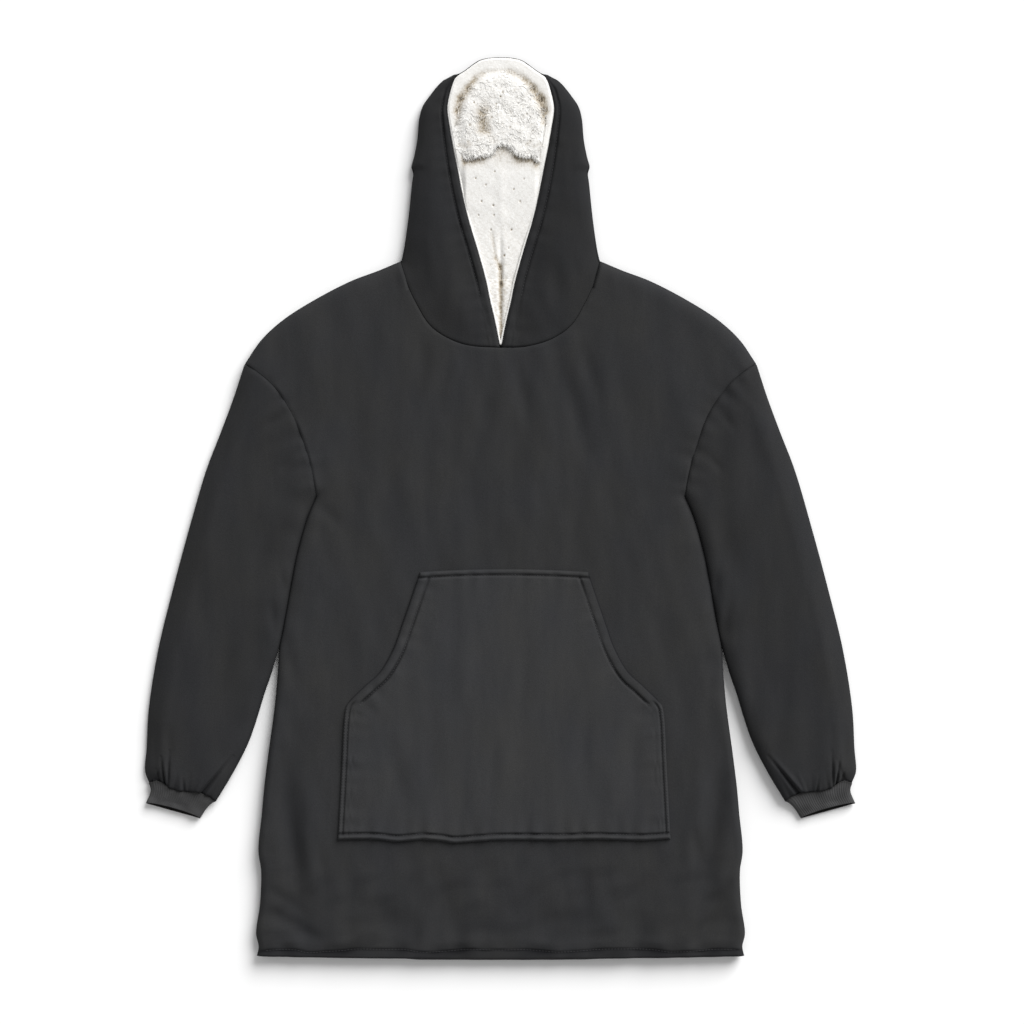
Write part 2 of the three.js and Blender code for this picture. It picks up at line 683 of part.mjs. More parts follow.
const hoodSideCurve = curveThrough(HOOD_SIDE);
const hoodCrownCurve = curveThrough(HOOD_CROWN);
const openingSideCurve = curveThrough(OPENING_SIDE);
const openingCrownCurve = curveThrough(OPENING_CROWN);
const hoodOutline = [...lineOf(hoodSideCurve, 96), ...lineOf(hoodCrownCurve).slice(1)];
const openingLine = [...lineOf(openingSideCurve, 96), ...lineOf(openingCrownCurve).slice(1)];

// The neck edge of a body panel from the shoulder to the middle, as the hood meets it
function neckEdge(columns, neckCurve) {
  const shares = columns.filter((s) => s * SHOULDER_HALF <= NECK_HALF + 0.01).reverse();
  const edge = beside(shares.map((s) => topPoint(s, neckCurve)), SEAM_CLEAR);
  edge[0].y += SEAM_GAP * 2;
  return edge;
}

function alongLine(points, share) {
  const lengths = [0];
  for (let k = 1; k < points.length; k++) {
    lengths.push(lengths[k - 1] + points[k].distanceTo(points[k - 1]));
  }
  const wanted = share * lengths.at(-1);
  const k = Math.max(1, lengths.findIndex((length) => length >= wanted - 1e-9));
  const part = (wanted - lengths[k - 1]) / (lengths[k] - lengths[k - 1]);
  return new THREE.Vector2().lerpVectors(points[k - 1], points[k], part);
}

const flatPoint = (p) => new THREE.Vector2(p.x, p.y);

function hoodRows(sideCurve, crownCurve) {
  return [
    ...HOOD_SIDE_ROWS.map((v) => flatPoint(sideCurve.getPointAt(v))),
    ...HOOD_CROWN_ROWS.map((v) => flatPoint(crownCurve.getPointAt(v))),
  ];
}

// Rows from one edge to another. The first follows the seam, and the rest straighten out.
function rowsBetween(from, to, sharesOf, seam) {
  const last = from.length - 1;
  return from.map((start, i) =>
    sharesOf(start.distanceTo(to[i]), i).map((u) => {
      const bend = alongLine(seam, u).sub(new THREE.Vector2().lerpVectors(from[0], to[0], u));
      const fade = (1 - i / last) ** 2;
      return new THREE.Vector2().lerpVectors(start, to[i], u).add(bend.multiplyScalar(fade));
    }),
  );
}

function hoodBackZ(x, y) {
  return HOOD_FOLD_Z * (1 - rounded(distanceTo(hoodOutline, x, y), 14));
}

function hoodTopZ(x, y, width) {
  const fromOutline = distanceTo(hoodOutline, x, y);
  const fromOpening = distanceTo(openingLine, x, y);
  const fromNeck = distanceTo(frontNeckLine, x, y);
  const crest = (HOOD_CREST_Z - HOOD_EDGE_Z) * THREE.MathUtils.smoothstep(fromOpening, CASING, 50);
  const free = HOOD_EDGE_Z + crest - foldDepth(HOOD_FOLDS, x, y);
  const nearNeck = TOP_Z + (free - TOP_Z) * THREE.MathUtils.smoothstep(fromNeck, 0, 50);
  const sewn = 2.6 * dip(fromOpening - CASING, 3) + SEAM_DIP * dip(fromNeck, SEAM_DIP_WIDTH);
  const full = HOOD_FOLD_Z + (nearNeck - sewn - HOOD_FOLD_Z)
    * rounded(fromOutline, Math.min(EDGE_REACH, 1.6 * width));
  const edge = HOOD_UNDER_Z + 1.5;
  return Math.max(Math.min(edge, full), edge + (full - edge) * rounded(fromOpening, 5));
}

function hoodPanel(side) {
  const frontNeck = neckEdge(FRONT_COLUMNS, frontNeckCurve);
  const backNeck = neckEdge(BACK_COLUMNS, backNeckCurve).reverse();
  const outline = hoodRows(hoodSideCurve, hoodCrownCurve);
  const opening = hoodRows(openingSideCurve, openingCrownCurve);
  outline[0] = frontNeck[0];
  opening[0] = frontNeck.at(-1);
  const last = outline.length - 1;
  const middle = outline.map((_, i) =>
    new THREE.Vector2(0, THREE.MathUtils.lerp(backNeck[0].y, HOOD_BACK_TOP_Y, i / last)));
  const widths = outline.map((p, i) => p.distanceTo(opening[i]));
  const walls = widths.map((width, i) => Math.min(3, 0.42 * width, 1 + i));
  const overShares = (inset) => (width, i) => {
    const start = inset ? walls[i] / width : 0;
    const free = HOOD_OVER_COLUMNS.map((u) => u * (1 - Math.min(0.5, CASING_DEPTHS[0] / width)));
    const band = CASING_DEPTHS.map((d) => 1 - Math.min(d / width, 0.5 * (d / CASING_DEPTHS[0])));
    return [...free, ...band].map((u) => start + u * (1 - start));
  };
  const backShares = (inset) => (width, i) =>
    HOOD_BACK_COLUMNS.map((u) => (inset ? u * (1 - walls[i] / width) : u));
  const outerBack = rowsBetween(middle, outline, backShares(false), backNeck);
  const innerBack = rowsBetween(middle, outline, backShares(true), backNeck);
  const outerOver = rowsBetween(outline, opening, overShares(false), frontNeck);
  const innerOver = rowsBetween(outline, opening, overShares(true), frontNeck);
  const clear = (x) => Math.max(x, SEAM_GAP / 2);
  const outer = outerBack.map((row, i) => [
    ...row.map((p) => new THREE.Vector3(clear(p.x), p.y, hoodBackZ(p.x, p.y))),
    ...outerOver[i].map((p) => new THREE.Vector3(clear(p.x), p.y, hoodTopZ(p.x, p.y, widths[i]))),
  ]);
  const inner = innerBack.map((row, i) => [
    ...row.map((p) => new THREE.Vector3(clear(p.x), p.y, hoodBackZ(p.x, p.y) + SHELL)),
    ...innerOver[i].map((p) => new THREE.Vector3(clear(p.x), p.y, HOOD_UNDER_Z)),
  ]);
  if (side === LEFT) return wallBetween(outer, inner);
  return wallBetween(mirrorX(outer), mirrorX(inner));
}

// Lining: deep sherpa pile, which shows inside the hood and, below its seam, on the back
const LINING_ROWS = [
  { middle: 306.8, edge: 309, outline: 341 },
  { middle: 345, edge: 346, outline: 366 },
  { middle: 385, edge: 385, outline: 396 },
  { middle: 422, edge: 420, outline: 424 },
  { middle: 452, edge: 446, outline: 446 },
  { middle: 474, edge: 463, outline: 462 },
  { middle: 484, edge: 470, outline: 470 },
  { middle: 490, edge: 476, outline: 477 },
  { middle: 496, edge: 483, outline: 486 },
  { middle: 506, edge: 495, outline: 499 },
  { middle: 516, edge: 510, outline: 513 },
  { middle: 524, edge: 528, outline: 528 },
  { middle: 530, edge: 546, outline: 542 },
  { middle: 535, edge: 562, outline: 556 },
  { middle: 539, edge: 577, outline: 573 },
];
const LINING_CROWN_ROWS = [0.05, 0.25, 0.45, 0.65, 0.83, 1];
const LINING_CROWN_MIDDLE = { from: 542, to: 556 };
const LINING_SHOWN_COLUMNS = [0, 0.1, 0.27, 0.45, 0.61, 0.75, 0.86, 0.94, 1];
const LINING_HIDDEN_COLUMNS = [0.5, 1];
const LINING_UNDER_Z = SHELL + 0.5;
const LINING_EDGE_RISE = 1.4; // how much faster its underside rises at the outline than the shell
const LINING_HIDDEN_Z = 10.9;
const LINING_FLOOR_Z = 13.5;
const LINING_RIM_Z = 20.5;
const LINING_BUNCH_Z = 23.5;
const CENTRE_SEAM_DIP = 2.2;
// Outline of the crown's lining, which bunches up and hangs over the lining below it
const BUNCH = [
  { half: 0, y: 492 },
  { half: 17, y: 484 },
  { half: 34, y: 477 },
  { half: 50, y: 474 },
  { half: 57, y: 489 },
  { half: 60, y: 517 },
  { half: 59, y: 551 },
  { half: 48, y: 573 },
  { half: 31, y: 588 },
  { half: 14, y: 594 },
  { half: 0, y: 595 },
];
const BACK_LINING_ROWS = [236, 250, 266, 284, 305.6];
const BACK_LINING_TOP_Z = 14.2;

const bunchLine = lineOf(curveThrough(BUNCH), 80);

function insideBunch(x, y) {
  let inside = false;
  const loop = bunchLine;
  loop.forEach((a, k) => {
    const b = loop[(k + 1) % loop.length];
    const crosses = a.y > y !== b.y > y;
    if (crosses && x < a.x + ((y - a.y) * (b.x - a.x)) / (b.y - a.y)) inside = !inside;
  });
  return inside;
}

function liningTopZ(x, y) {
  const fromOpening = distanceTo(openingLine, x, y);
  const fromBunch = distanceTo(bunchLine, x, y);
  const crown = THREE.MathUtils.smoothstep(y, 440, 500);
  const bunched = insideBunch(x, y);
  const rise = bunched
    ? (LINING_BUNCH_Z - LINING_FLOOR_Z) * rounded(fromBunch, 13)
    : (LINING_RIM_Z - LINING_FLOOR_Z) * crown * rounded(fromBunch, 9);
  const below = 1 - THREE.MathUtils.smoothstep(y, 350, 430);
  const free = LINING_FLOOR_Z + rise - CENTRE_SEAM_DIP * below * dip(x, 5);
  return LINING_HIDDEN_Z + (free - LINING_HIDDEN_Z) * rounded(fromOpening, 6);
}

function hoodLining() {
  const edge = beside([
    ...LINING_ROWS.map((row) => pointWhere(openingSideCurve, "y", row.edge)),
    ...LINING_CROWN_ROWS.map((v) => openingCrownCurve.getPointAt(v)),
  ], -1);
  const sideOutline = LINING_ROWS.map((row) => pointWhere(hoodSideCurve, "y", row.outline));
  const crownOutline = LINING_CROWN_ROWS.map((v) => hoodCrownCurve.getPointAt(v));
  const last = LINING_CROWN_ROWS.length - 1;
  const crownInset = (k) => THREE.MathUtils.lerp(4.4, 2.6, Math.min(1, k / 2));
  const outline = [
    ...beside(sideOutline, -5),
    ...crownOutline.map((_, k) => beside(crownOutline, -crownInset(k))[k]),
  ];
  const middleY = [
    ...LINING_ROWS.map((row) => row.middle),
    ...LINING_CROWN_ROWS.map((_, k) =>
      THREE.MathUtils.lerp(LINING_CROWN_MIDDLE.from, LINING_CROWN_MIDDLE.to, k / last)),
  ];
  const half = middleY.map((y, i) => {
    const middle = new THREE.Vector2(0, y);
    const shown = LINING_SHOWN_COLUMNS.map((u) => new THREE.Vector2().lerpVectors(middle, edge[i], u));
    const hidden = LINING_HIDDEN_COLUMNS.map((u) =>
      new THREE.Vector2().lerpVectors(edge[i], outline[i], u));
    return [...shown, ...hidden];
  });
  const shownCount = LINING_SHOWN_COLUMNS.length;
  const top = (p, j) => (j < shownCount - 1 ? liningTopZ(p.x, p.y) : LINING_HIDDEN_Z);
  const under = (p) => LINING_UNDER_Z + LINING_EDGE_RISE * hoodBackZ(p.x, p.y);
  const right = (z) => half.map((row) => row.map((p, j) => new THREE.Vector3(p.x, p.y, z(p, j))));
  const both = (rows) => rows.map((row) => [
    ...row.slice(1).reverse().map((p) => p.clone().setX(-p.x)),
    ...row,
  ]);
  return wallBetween(both(right(top)), both(right(under)));
}

function backLining() {
  const shares = [-1, -0.7, 0, 0.7, 1];
  const grid = BACK_LINING_ROWS.map((y, i) => {
    const width = pointWhere(openingSideCurve, "y", y).x - 1;
    const end = i === BACK_LINING_ROWS.length - 1 ? 0.6 : 0;
    return shares.map((s) => {
      const edge = Math.abs(s) === 1;
      const seam = s === 0 ? CENTRE_SEAM_DIP : 0;
      return new THREE.Vector3(s * width, y + end * s * s, edge ? 12 : BACK_LINING_TOP_Z - seam);
    });
  });
  return panelOnPlane(grid, MIDDLE_Z + SEAM_GAP / 2);
}

const cream = { color: 0xeeeae3, roughness: 1, metalness: 0 };
const ribCharcoal = { color: 0x3c3d3e, roughness: 0.9, metalness: 0 };
const hoodie = new THREE.Group();
hoodie.add(
  sheetOfCloth("body_front", bodyFront()),
  sheetOfCloth("body_back", bodyBack()),
  sheetOfCloth("sleeve_left", sleeve(LEFT)),
  sheetOfCloth("sleeve_right", sleeve(RIGHT)),
  sheetOfCloth("cuff_left", cuff(LEFT), ribCharcoal),
  sheetOfCloth("cuff_right", cuff(RIGHT), ribCharcoal),
  sheetOfCloth("pocket", pocket()),
  sheetOfCloth("hood_left", hoodPanel(LEFT)),
  sheetOfCloth("hood_right", hoodPanel(RIGHT)),
  sheetOfCloth("hood_lining", hoodLining(), cream),
  sheetOfCloth("back_lining", backLining(), cream),
);

export default hoodie;
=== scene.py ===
"""A wearable blanket hoodie, laid out flat on its back with its front up. Metres, +Z up."""

import math

import bpy
import numpy as np
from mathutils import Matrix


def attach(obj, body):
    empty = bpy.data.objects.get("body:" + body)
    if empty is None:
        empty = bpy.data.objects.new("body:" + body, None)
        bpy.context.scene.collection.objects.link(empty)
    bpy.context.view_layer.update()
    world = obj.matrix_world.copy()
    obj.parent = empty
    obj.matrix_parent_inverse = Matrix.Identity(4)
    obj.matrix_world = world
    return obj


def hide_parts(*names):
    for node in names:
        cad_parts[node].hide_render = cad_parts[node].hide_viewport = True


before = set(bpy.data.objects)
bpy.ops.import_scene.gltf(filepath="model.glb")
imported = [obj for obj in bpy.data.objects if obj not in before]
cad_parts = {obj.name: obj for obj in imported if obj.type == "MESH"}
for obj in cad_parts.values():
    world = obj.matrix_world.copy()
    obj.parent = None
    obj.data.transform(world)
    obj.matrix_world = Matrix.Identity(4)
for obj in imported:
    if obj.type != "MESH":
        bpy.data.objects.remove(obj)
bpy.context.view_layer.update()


# Front of the body. One panel of brushed fleece backed with sherpa, about 10 mm thick as it
# lies on the back. Its hem is turned and stitched, and soft folds run down it from the neck,
# beside the pocket and into the lower corners.
HEM_Y = -0.618
HEM_CORNER_LIFT = 0.004
HEM_ROLL = 0.015
HEM_SEAM = 0.0132
HEM_GROOVE = 0.0014
HEM_TUCK = 0.0014
SHOULDER_HALF = 0.350
NECK_HALF = 0.137
MIDDLE_Z = 0.010
TOP_Z = 0.020
SEAM_GAP = 0.0003
SEAM_CLEAR = 0.00038
SEAM_CLOTH = 0.0014
EDGE_REACH = 0.020
# The grooves that the seams pull: how deep each is, and their half width.
ARMHOLE_GROOVE = 0.0016
NECK_GROOVE = 0.0009
GROOVE_WIDTH = 0.0024
# The line of painted shade where two layers meet at an outline: its half width.
OUTLINE_SHADE = 0.0016
SIDE_SEAM = [
    (0.334, -0.614), (0.3315, -0.601), (0.335, -0.583), (0.3297, -0.543), (0.3282, -0.497),
    (0.3319, -0.470), (0.3273, -0.420), (0.3240, -0.383), (0.3184, -0.338), (0.3093, -0.270),
    (0.305, -0.222), (0.3032, -0.192),
    (0.2988, -0.170), (0.2933, -0.140), (0.2848, -0.092), (0.2784, -0.061), (0.2658, -0.016),
    (0.253, 0.015),
]
ARMHOLE = [
    (0.253, 0.015), (0.259, 0.052), (0.271, 0.093), (0.289, 0.134), (0.313, 0.168),
    (0.350, 0.198),
]
SHOULDER = [
    (0.350, 0.198), (0.328, 0.230), (0.299, 0.257), (0.257, 0.284), (0.205, 0.311),
    (0.168, 0.325), (0.137, 0.338),
]
FRONT_NECK = [
    (0.137, 0.338), (0.128, 0.307), (0.114, 0.277), (0.097, 0.250), (0.072, 0.232),
    (0.042, 0.222), (0.000, 0.219),
]
# Each crease: where it starts and ends, its half width and its depth. A minus depth is a ridge.
FRONT_CREASES = [
    (-0.300, -0.330, -0.272, -0.560, 0.013, 0.0068),
    (0.304, -0.326, 0.280, -0.552, 0.014, 0.0062),
    (-0.270, -0.345, -0.250, -0.520, 0.014, -0.0028),
    (0.276, -0.350, 0.254, -0.500, 0.014, -0.0026),
    (-0.256, -0.420, -0.238, -0.545, 0.009, 0.0026),
    (0.262, -0.430, 0.276, -0.500, 0.008, 0.0034),
    (-0.096, 0.246, -0.126, 0.110, 0.012, 0.0038),
    (-0.002, 0.212, -0.046, 0.020, 0.014, 0.0034),
    (0.078, 0.214, 0.118, 0.080, 0.013, 0.0032),
    (0.104, 0.240, 0.142, 0.130, 0.010, 0.0030),
    (0.020, 0.214, 0.038, 0.100, 0.010, 0.0022),
    (-0.056, 0.224, -0.078, 0.120, 0.009, -0.0020),
    (-0.196, 0.240, -0.200, 0.030, 0.020, 0.0018),
    (-0.146, 0.200, -0.150, 0.020, 0.018, 0.0014),
    (0.170, 0.240, 0.186, 0.030, 0.020, 0.0016),
    (0.214, 0.180, 0.224, -0.020, 0.018, 0.0016),
    (-0.326, -0.545, -0.236, -0.598, 0.010, 0.0040),
    (-0.322, -0.516, -0.262, -0.560, 0.009, 0.0030),
    (0.326, -0.535, 0.250, -0.594, 0.010, 0.0038),
    (0.322, -0.506, 0.276, -0.556, 0.009, 0.0028),
    (-0.190, -0.560, -0.100, -0.574, 0.022, 0.0040),
    (-0.070, -0.566, 0.010, -0.582, 0.018, 0.0030),
    (0.040, -0.560, 0.150, -0.580, 0.020, 0.0034),
    (-0.090, -0.480, -0.060, -0.590, 0.014, 0.0024),
    (0.110, -0.486, 0.122, -0.580, 0.014, 0.0022),
    (-0.170, -0.490, -0.190, -0.545, 0.012, -0.0018),
    (0.020, -0.500, 0.030, -0.560, 0.012, -0.0016),
    (-0.252, 0.008, -0.214, -0.030, 0.008, 0.0020),
    (0.252, 0.010, 0.222, -0.036, 0.008, 0.0018),
    (-0.296, -0.170, -0.280, -0.250, 0.010, 0.0022),
    (0.298, -0.180, 0.284, -0.262, 0.010, 0.0020),
    (-0.148, 0.334, -0.136, 0.290, 0.0055, 0.0016),
    (0.148, 0.334, 0.136, 0.290, 0.0055, 0.0014),
]

# How far the hem's stitching strays from its even line, up the cloth, at places across it.
HEM_STRAY = [
    (-0.331, -0.0014), (-0.302, 0.0010), (-0.280, 0.0004), (-0.263, -0.0034), (-0.242, -0.0022),
    (-0.215, -0.0004), (-0.194, 0.0018), (-0.165, 0.0010), (-0.128, 0.0004), (-0.110, -0.0025),
    (-0.074, -0.0014), (-0.042, 0.0010), (0.000, 0.0002), (0.034, 0.0008), (0.056, -0.0012),
    (0.078, -0.0026), (0.104, -0.0014), (0.130, 0.0008), (0.176, 0.0018), (0.210, 0.0004),
    (0.232, -0.0026), (0.262, -0.0014), (0.286, 0.0006), (0.310, 0.0010), (0.331, -0.0004),
]
# Where the hem is drawn in most: place across, half width and strength.
HEM_GATHERS = [
    (-0.318, 0.010, 0.3), (-0.290, 0.014, 0.7), (-0.240, 0.013, 0.5), (-0.214, 0.015, 0.9),
    (-0.135, 0.012, 0.6), (-0.088, 0.010, 0.3), (-0.058, 0.018, 1.0), (0.054, 0.018, 1.0),
    (0.134, 0.014, 0.6), (0.190, 0.008, 0.3), (0.212, 0.015, 0.9), (0.242, 0.012, 0.5),
    (0.294, 0.014, 0.7),
]
# Where the hem's lower edge steps up, and by how much.
HEM_STEPS = (-0.118, 0.120)
HEM_STEP = 0.0014


def smooth_line(table, samples=24):
    """A smooth line that passes through the points of a table."""
    points = np.array(table, float)
    ends = [2 * points[0] - points[1], 2 * points[-1] - points[-2]]
    points = np.vstack([ends[0], points, ends[1]])
    pieces = []
    for before, start, end, after in zip(points, points[1:], points[2:], points[3:]):
        first, middle, last = (
            math.sqrt(math.dist(a, b)) for a, b in ((before, start), (start, end), (end, after))
        )
        leave = (start - before) / first - (end - before) / (first + middle) + (end - start) / middle
        arrive = (end - start) / middle - (after - start) / (middle + last) + (after - end) / last
        leave *= middle
        arrive *= middle
        t = np.linspace(0, 1, samples, endpoint=False)[:, None]
        bend = 2 * start - 2 * end + leave + arrive
        pull = -3 * start + 3 * end - 2 * leave - arrive
        pieces.append(start + leave * t + pull * t ** 2 + bend * t ** 3)
    return np.vstack([*pieces, points[-2]])


def lengths_of(line):
    """How far along a line each of its points is."""
    return np.concatenate([[0], np.cumsum(np.hypot(*np.diff(line[:, :2], axis=0).T))])


def at_shares(line, shares):
    """The points of a line at shares of its length."""
    run = lengths_of(line)
    wanted = np.asarray(shares) * run[-1]
    return np.column_stack([np.interp(wanted, run, line[:, k]) for k in range(line.shape[1])])


def at_value(line, axis, values):
    """The points of a line where one coordinate has the given values."""
    order = np.argsort(line[:, axis])
    other = np.interp(values, line[order, axis], line[order, 1 - axis])
    pair = [np.asarray(values, float), other]
    return np.column_stack(pair if axis == 0 else pair[::-1])


def nearest(line, x, y):
    """How far each point is from a line, and how far along the line it is met."""
    least = np.full(np.shape(x), np.inf)
    place = np.zeros(np.shape(x))
    run = lengths_of(line)
    for k in range(len(line) - 1):
        step = line[k + 1] - line[k]
        length = math.hypot(step[0], step[1])
        if length < 1e-9:
            continue
        share = np.clip(((x - line[k, 0]) * step[0] + (y - line[k, 1]) * step[1]) / length ** 2, 0, 1)
        away = np.hypot(x - line[k, 0] - share * step[0], y - line[k, 1] - share * step[1])
        closer = away < least
        least = np.where(closer, away, least)
        place = np.where(closer, run[k] + share * length, place)
    return least, place


def rounded(distance, reach):
    """From 0 at an edge to 1 at its reach, round as a rolled edge is."""
    t = np.clip(distance / reach, 0, 1)
    return np.sqrt(1 - (1 - t) ** 2)


def dip(distance, width):
    """From 1 on a line to almost 0 at twice the width from it, as a groove's depth falls away."""
    return np.exp(-((distance / width) ** 2))


def ease(value, low, high):
    """From 0 at the low value to 1 at the high one, smooth at both ends."""
    t = np.clip((value - low) / (high - low), 0, 1)
    return t * t * (3 - 2 * t)


def from_short_line(x, y, x1, y1, x2, y2):
    """How far each point is from a short line, and its share of the way along it."""
    length = math.hypot(x2 - x1, y2 - y1)
    along = ((x - x1) * (x2 - x1) + (y - y1) * (y2 - y1)) / length
    off = ((x - x1) * (y2 - y1) - (y - y1) * (x2 - x1)) / length
    past = np.maximum(0, np.maximum(-along, along - length))
    return np.hypot(off, past), along / length


def creases(table, x, y):
    """How deep the listed creases are at each point, fading out at both ends of each."""
    depth = np.zeros(np.shape(x))
    for x1, y1, x2, y2, width, deep in table:
        away, share = from_short_line(x, y, x1, y1, x2, y2)
        depth += deep * np.sin(math.pi * np.clip(share, 0.05, 0.95)) * dip(away, width)
    return depth


def wander(x, y, size_x, size_y, seed):
    """A soft uneven relief between about -1 and 1, with features of a given width and length."""
    chance = np.random.default_rng(seed)
    total = np.zeros(np.shape(x))
    for turn, pace, phase in chance.uniform((0, 0.6, 0), (2 * math.pi, 1.6, 2 * math.pi), (9, 3)):
        across = x * math.cos(turn) / size_x + y * math.sin(turn) / size_y
        total += np.sin(2 * math.pi * pace * across + phase)
    return total / 4.5


def puckers(away, place, reach, pitch, seed):
    """Small gathers that a seam draws into the cloth beside it."""
    wave = wander(place, away * 0.3, pitch, pitch * 4, seed)
    return wave * np.exp(-away / reach) * np.clip(away / 0.003, 0, 1)


def fill_between(left, right, bottom, top, across, along, top_fade=1):
    """The grid of points between four edges, whose rows take up the top's shape by top_fade."""
    u = np.asarray(across)[None, :, None]
    v = np.asarray(along)[:, None, None]
    sides = (1 - u) * left[:, None] + u * right[:, None]
    foot = bottom[None] - (1 - u) * left[0] - u * right[0]
    head = top[None] - (1 - u) * left[-1] - u * right[-1]
    return sides + (1 - v) * foot + v ** top_fade * head


def spread(stops, steps):
    """Values that run through the stops, with a number of even steps between each two."""
    parts = [np.linspace(a, b, n, endpoint=False) for a, b, n in zip(stops, stops[1:], steps)]
    return np.concatenate([*parts, [stops[-1]]])


def grid_faces(rows, columns, first=0, closed=False, flip=False):
    """The faces of a grid of points, closed round its columns for a tube."""
    spans = columns if closed else columns - 1
    i, j = np.meshgrid(np.arange(rows - 1), np.arange(spans), indexing="ij")
    after = (j + 1) % columns
    corners = [i * columns + j, i * columns + after, (i + 1) * columns + after, (i + 1) * columns + j]
    faces = np.stack(corners, -1).reshape(-1, 4) + first
    return faces[:, ::-1] if flip else faces


def ring_of(rows, columns):
    """The outer ring of a grid's points, in order round it."""
    bottom = np.arange(columns)
    right = np.arange(1, rows) * columns + columns - 1
    top = (rows - 1) * columns + np.arange(columns - 2, -1, -1)
    left = np.arange(rows - 2, 0, -1) * columns
    return np.concatenate([bottom, right, top, left])


def make_piece(name, points, faces, material, painted_shade_and_tone=None):
    """A piece of the hoodie, whose mesh also holds the shade painted on each point, in its creases,
    seams and hollows, with some uneven tone.
    """
    mesh = bpy.data.meshes.new(name)
    mesh.from_pydata(np.asarray(points).tolist(), [], [list(map(int, face)) for face in faces])
    # Painted shade, with some uneven tone, kept on the mesh so that its material darkens the colour
    # there.
    if painted_shade_and_tone is not None:
        depth = mesh.attributes.new("painted_shade_and_tone", "FLOAT", "POINT")
        depth.data.foreach_set("value", np.clip(painted_shade_and_tone, 0, 1).ravel())
    mesh.polygons.foreach_set("use_smooth", np.ones(len(mesh.polygons), bool))
    mesh.materials.append(material)
    piece = bpy.data.objects.new(name, mesh)
    bpy.context.scene.collection.objects.link(piece)
    return piece


def panel_on_plane(name, grid, plane_z, material, painted_shade_and_tone):
    """A closed panel. The grid is its outer face, and its inner face lies flat on a plane."""
    rows, columns = grid.shape[:2]
    outer = grid.reshape(-1, 3)
    ring = ring_of(rows, columns)
    rim = outer[ring].copy()
    rim[:, 2] = plane_z
    below = len(outer) + np.arange(len(ring))
    after = np.roll(ring, -1)
    band = np.column_stack([after, ring, below, np.roll(below, -1)])
    faces = [*grid_faces(rows, columns), *band, below[::-1]]
    if outer[:, 2].mean() < plane_z:
        faces = [face[::-1] for face in faces]
    shades = np.concatenate([painted_shade_and_tone.ravel(), painted_shade_and_tone.ravel()[ring]])
    return make_piece(name, np.vstack([outer, rim]), faces, material, shades)


def feed(tree, node, inputs):
    """Sets a node's inputs. Each is a fixed value, or what another node gives."""
    for name, value in inputs.items():
        if isinstance(value, bpy.types.NodeSocket):
            tree.links.new(value, node.inputs[name])
        else:
            node.inputs[name].default_value = value


def add_node(tree, kind, inputs, output):
    """What a new node with these inputs gives."""
    node = tree.nodes.new("ShaderNode" + kind)
    feed(tree, node, inputs)
    return node.outputs[output]


def noise(tree, place, scale, detail, roughness=0.5, distortion=0):
    """An uneven pattern over the cloth."""
    inputs = {"Vector": place, "Scale": scale, "Detail": detail}
    inputs.update({"Roughness": roughness, "Distortion": distortion})
    return add_node(tree, "TexNoise", inputs, "Fac")


def tones(tree, pattern, stops):
    """Colours that follow a pattern, from the first stop's to the last one's."""
    node = tree.nodes.new("ShaderNodeValToRGB")
    ramp = node.color_ramp.elements
    ramp[0].position, ramp[0].color = stops[0]
    ramp[1].position, ramp[1].color = stops[-1]
    for position, colour in stops[1:-1]:
        ramp.new(position).color = colour
    feed(tree, node, {"Fac": pattern})
    return node.outputs["Color"]


def blend(tree, kind, share, first, second):
    """Two colours blended by a share."""
    node = tree.nodes.new("ShaderNodeMixRGB")
    node.blend_type = kind
    feed(tree, node, {"Fac": share, "Color1": first, "Color2": second})
    return node.outputs["Color"]


def painted_shade_and_tone_attribute(tree):
    """The shade painted in creases, seams and between locks, with some uneven tone, as the mesh holds
    it.
    """
    depth = tree.nodes.new("ShaderNodeAttribute")
    depth.attribute_name = "painted_shade_and_tone"
    return depth.outputs["Fac"]


def fine_relief(tree, pattern, strength, distance):
    """A relief too fine for the mesh, such as nap, knit or curls."""
    inputs = {"Height": pattern, "Strength": strength, "Distance": distance}
    return add_node(tree, "Bump", inputs, "Normal")


def new_material(name):
    """A new material, with its node tree and its shader."""
    material = bpy.data.materials.new(name)
    material.use_nodes = True
    tree = material.node_tree
    return material, tree, tree.nodes["Principled BSDF"]


def fleece(name, shade):
    """Brushed charcoal fleece: a short matt nap over a smooth knit, a little uneven in tone, and
    darkened by painted shade.
    """
    material, tree, shader = new_material(name)
    place = add_node(tree, "TexCoord", {}, "Object")
    lay = add_node(tree, "Mapping", {"Vector": place, "Scale": (34, 8, 34)}, "Vector")
    nap = noise(tree, place, scale=620, detail=4, roughness=0.7)
    streaks = tones(tree, noise(tree, lay, scale=1, detail=5, roughness=0.62), [
        (0.25, (shade * 0.87, shade * 0.88, shade * 0.94, 1)),
        (0.75, (shade * 1.15, shade * 1.145, shade * 1.175, 1)),
    ])
    patches = tones(tree, noise(tree, place, scale=11, detail=3), [
        (0.36, (0.965, 0.98, 1.0, 1)),
        (0.64, (1.0, 1.0, 0.972, 1)),
    ])
    tinted = blend(tree, "MULTIPLY", 1, streaks, patches)
    speckled = blend(tree, "SOFT_LIGHT", 0.35, tinted, nap)
    # Painted shade: the shade that the mesh holds darkens the colour towards a cool near-black.
    feed(tree, shader, {
        "Base Color": blend(
            tree, "MULTIPLY", painted_shade_and_tone_attribute(tree), speckled, (0.24, 0.24, 0.27, 1)
        ),
        "Roughness": 0.95,
        "Specular IOR Level": 0.12,
        "Sheen Weight": 0.04,
        "Sheen Roughness": 0.5,
        "Sheen Tint": (0.55, 0.56, 0.58, 1),
        "Normal": fine_relief(tree, nap, strength=0.5, distance=0.0006),
    })
    return material


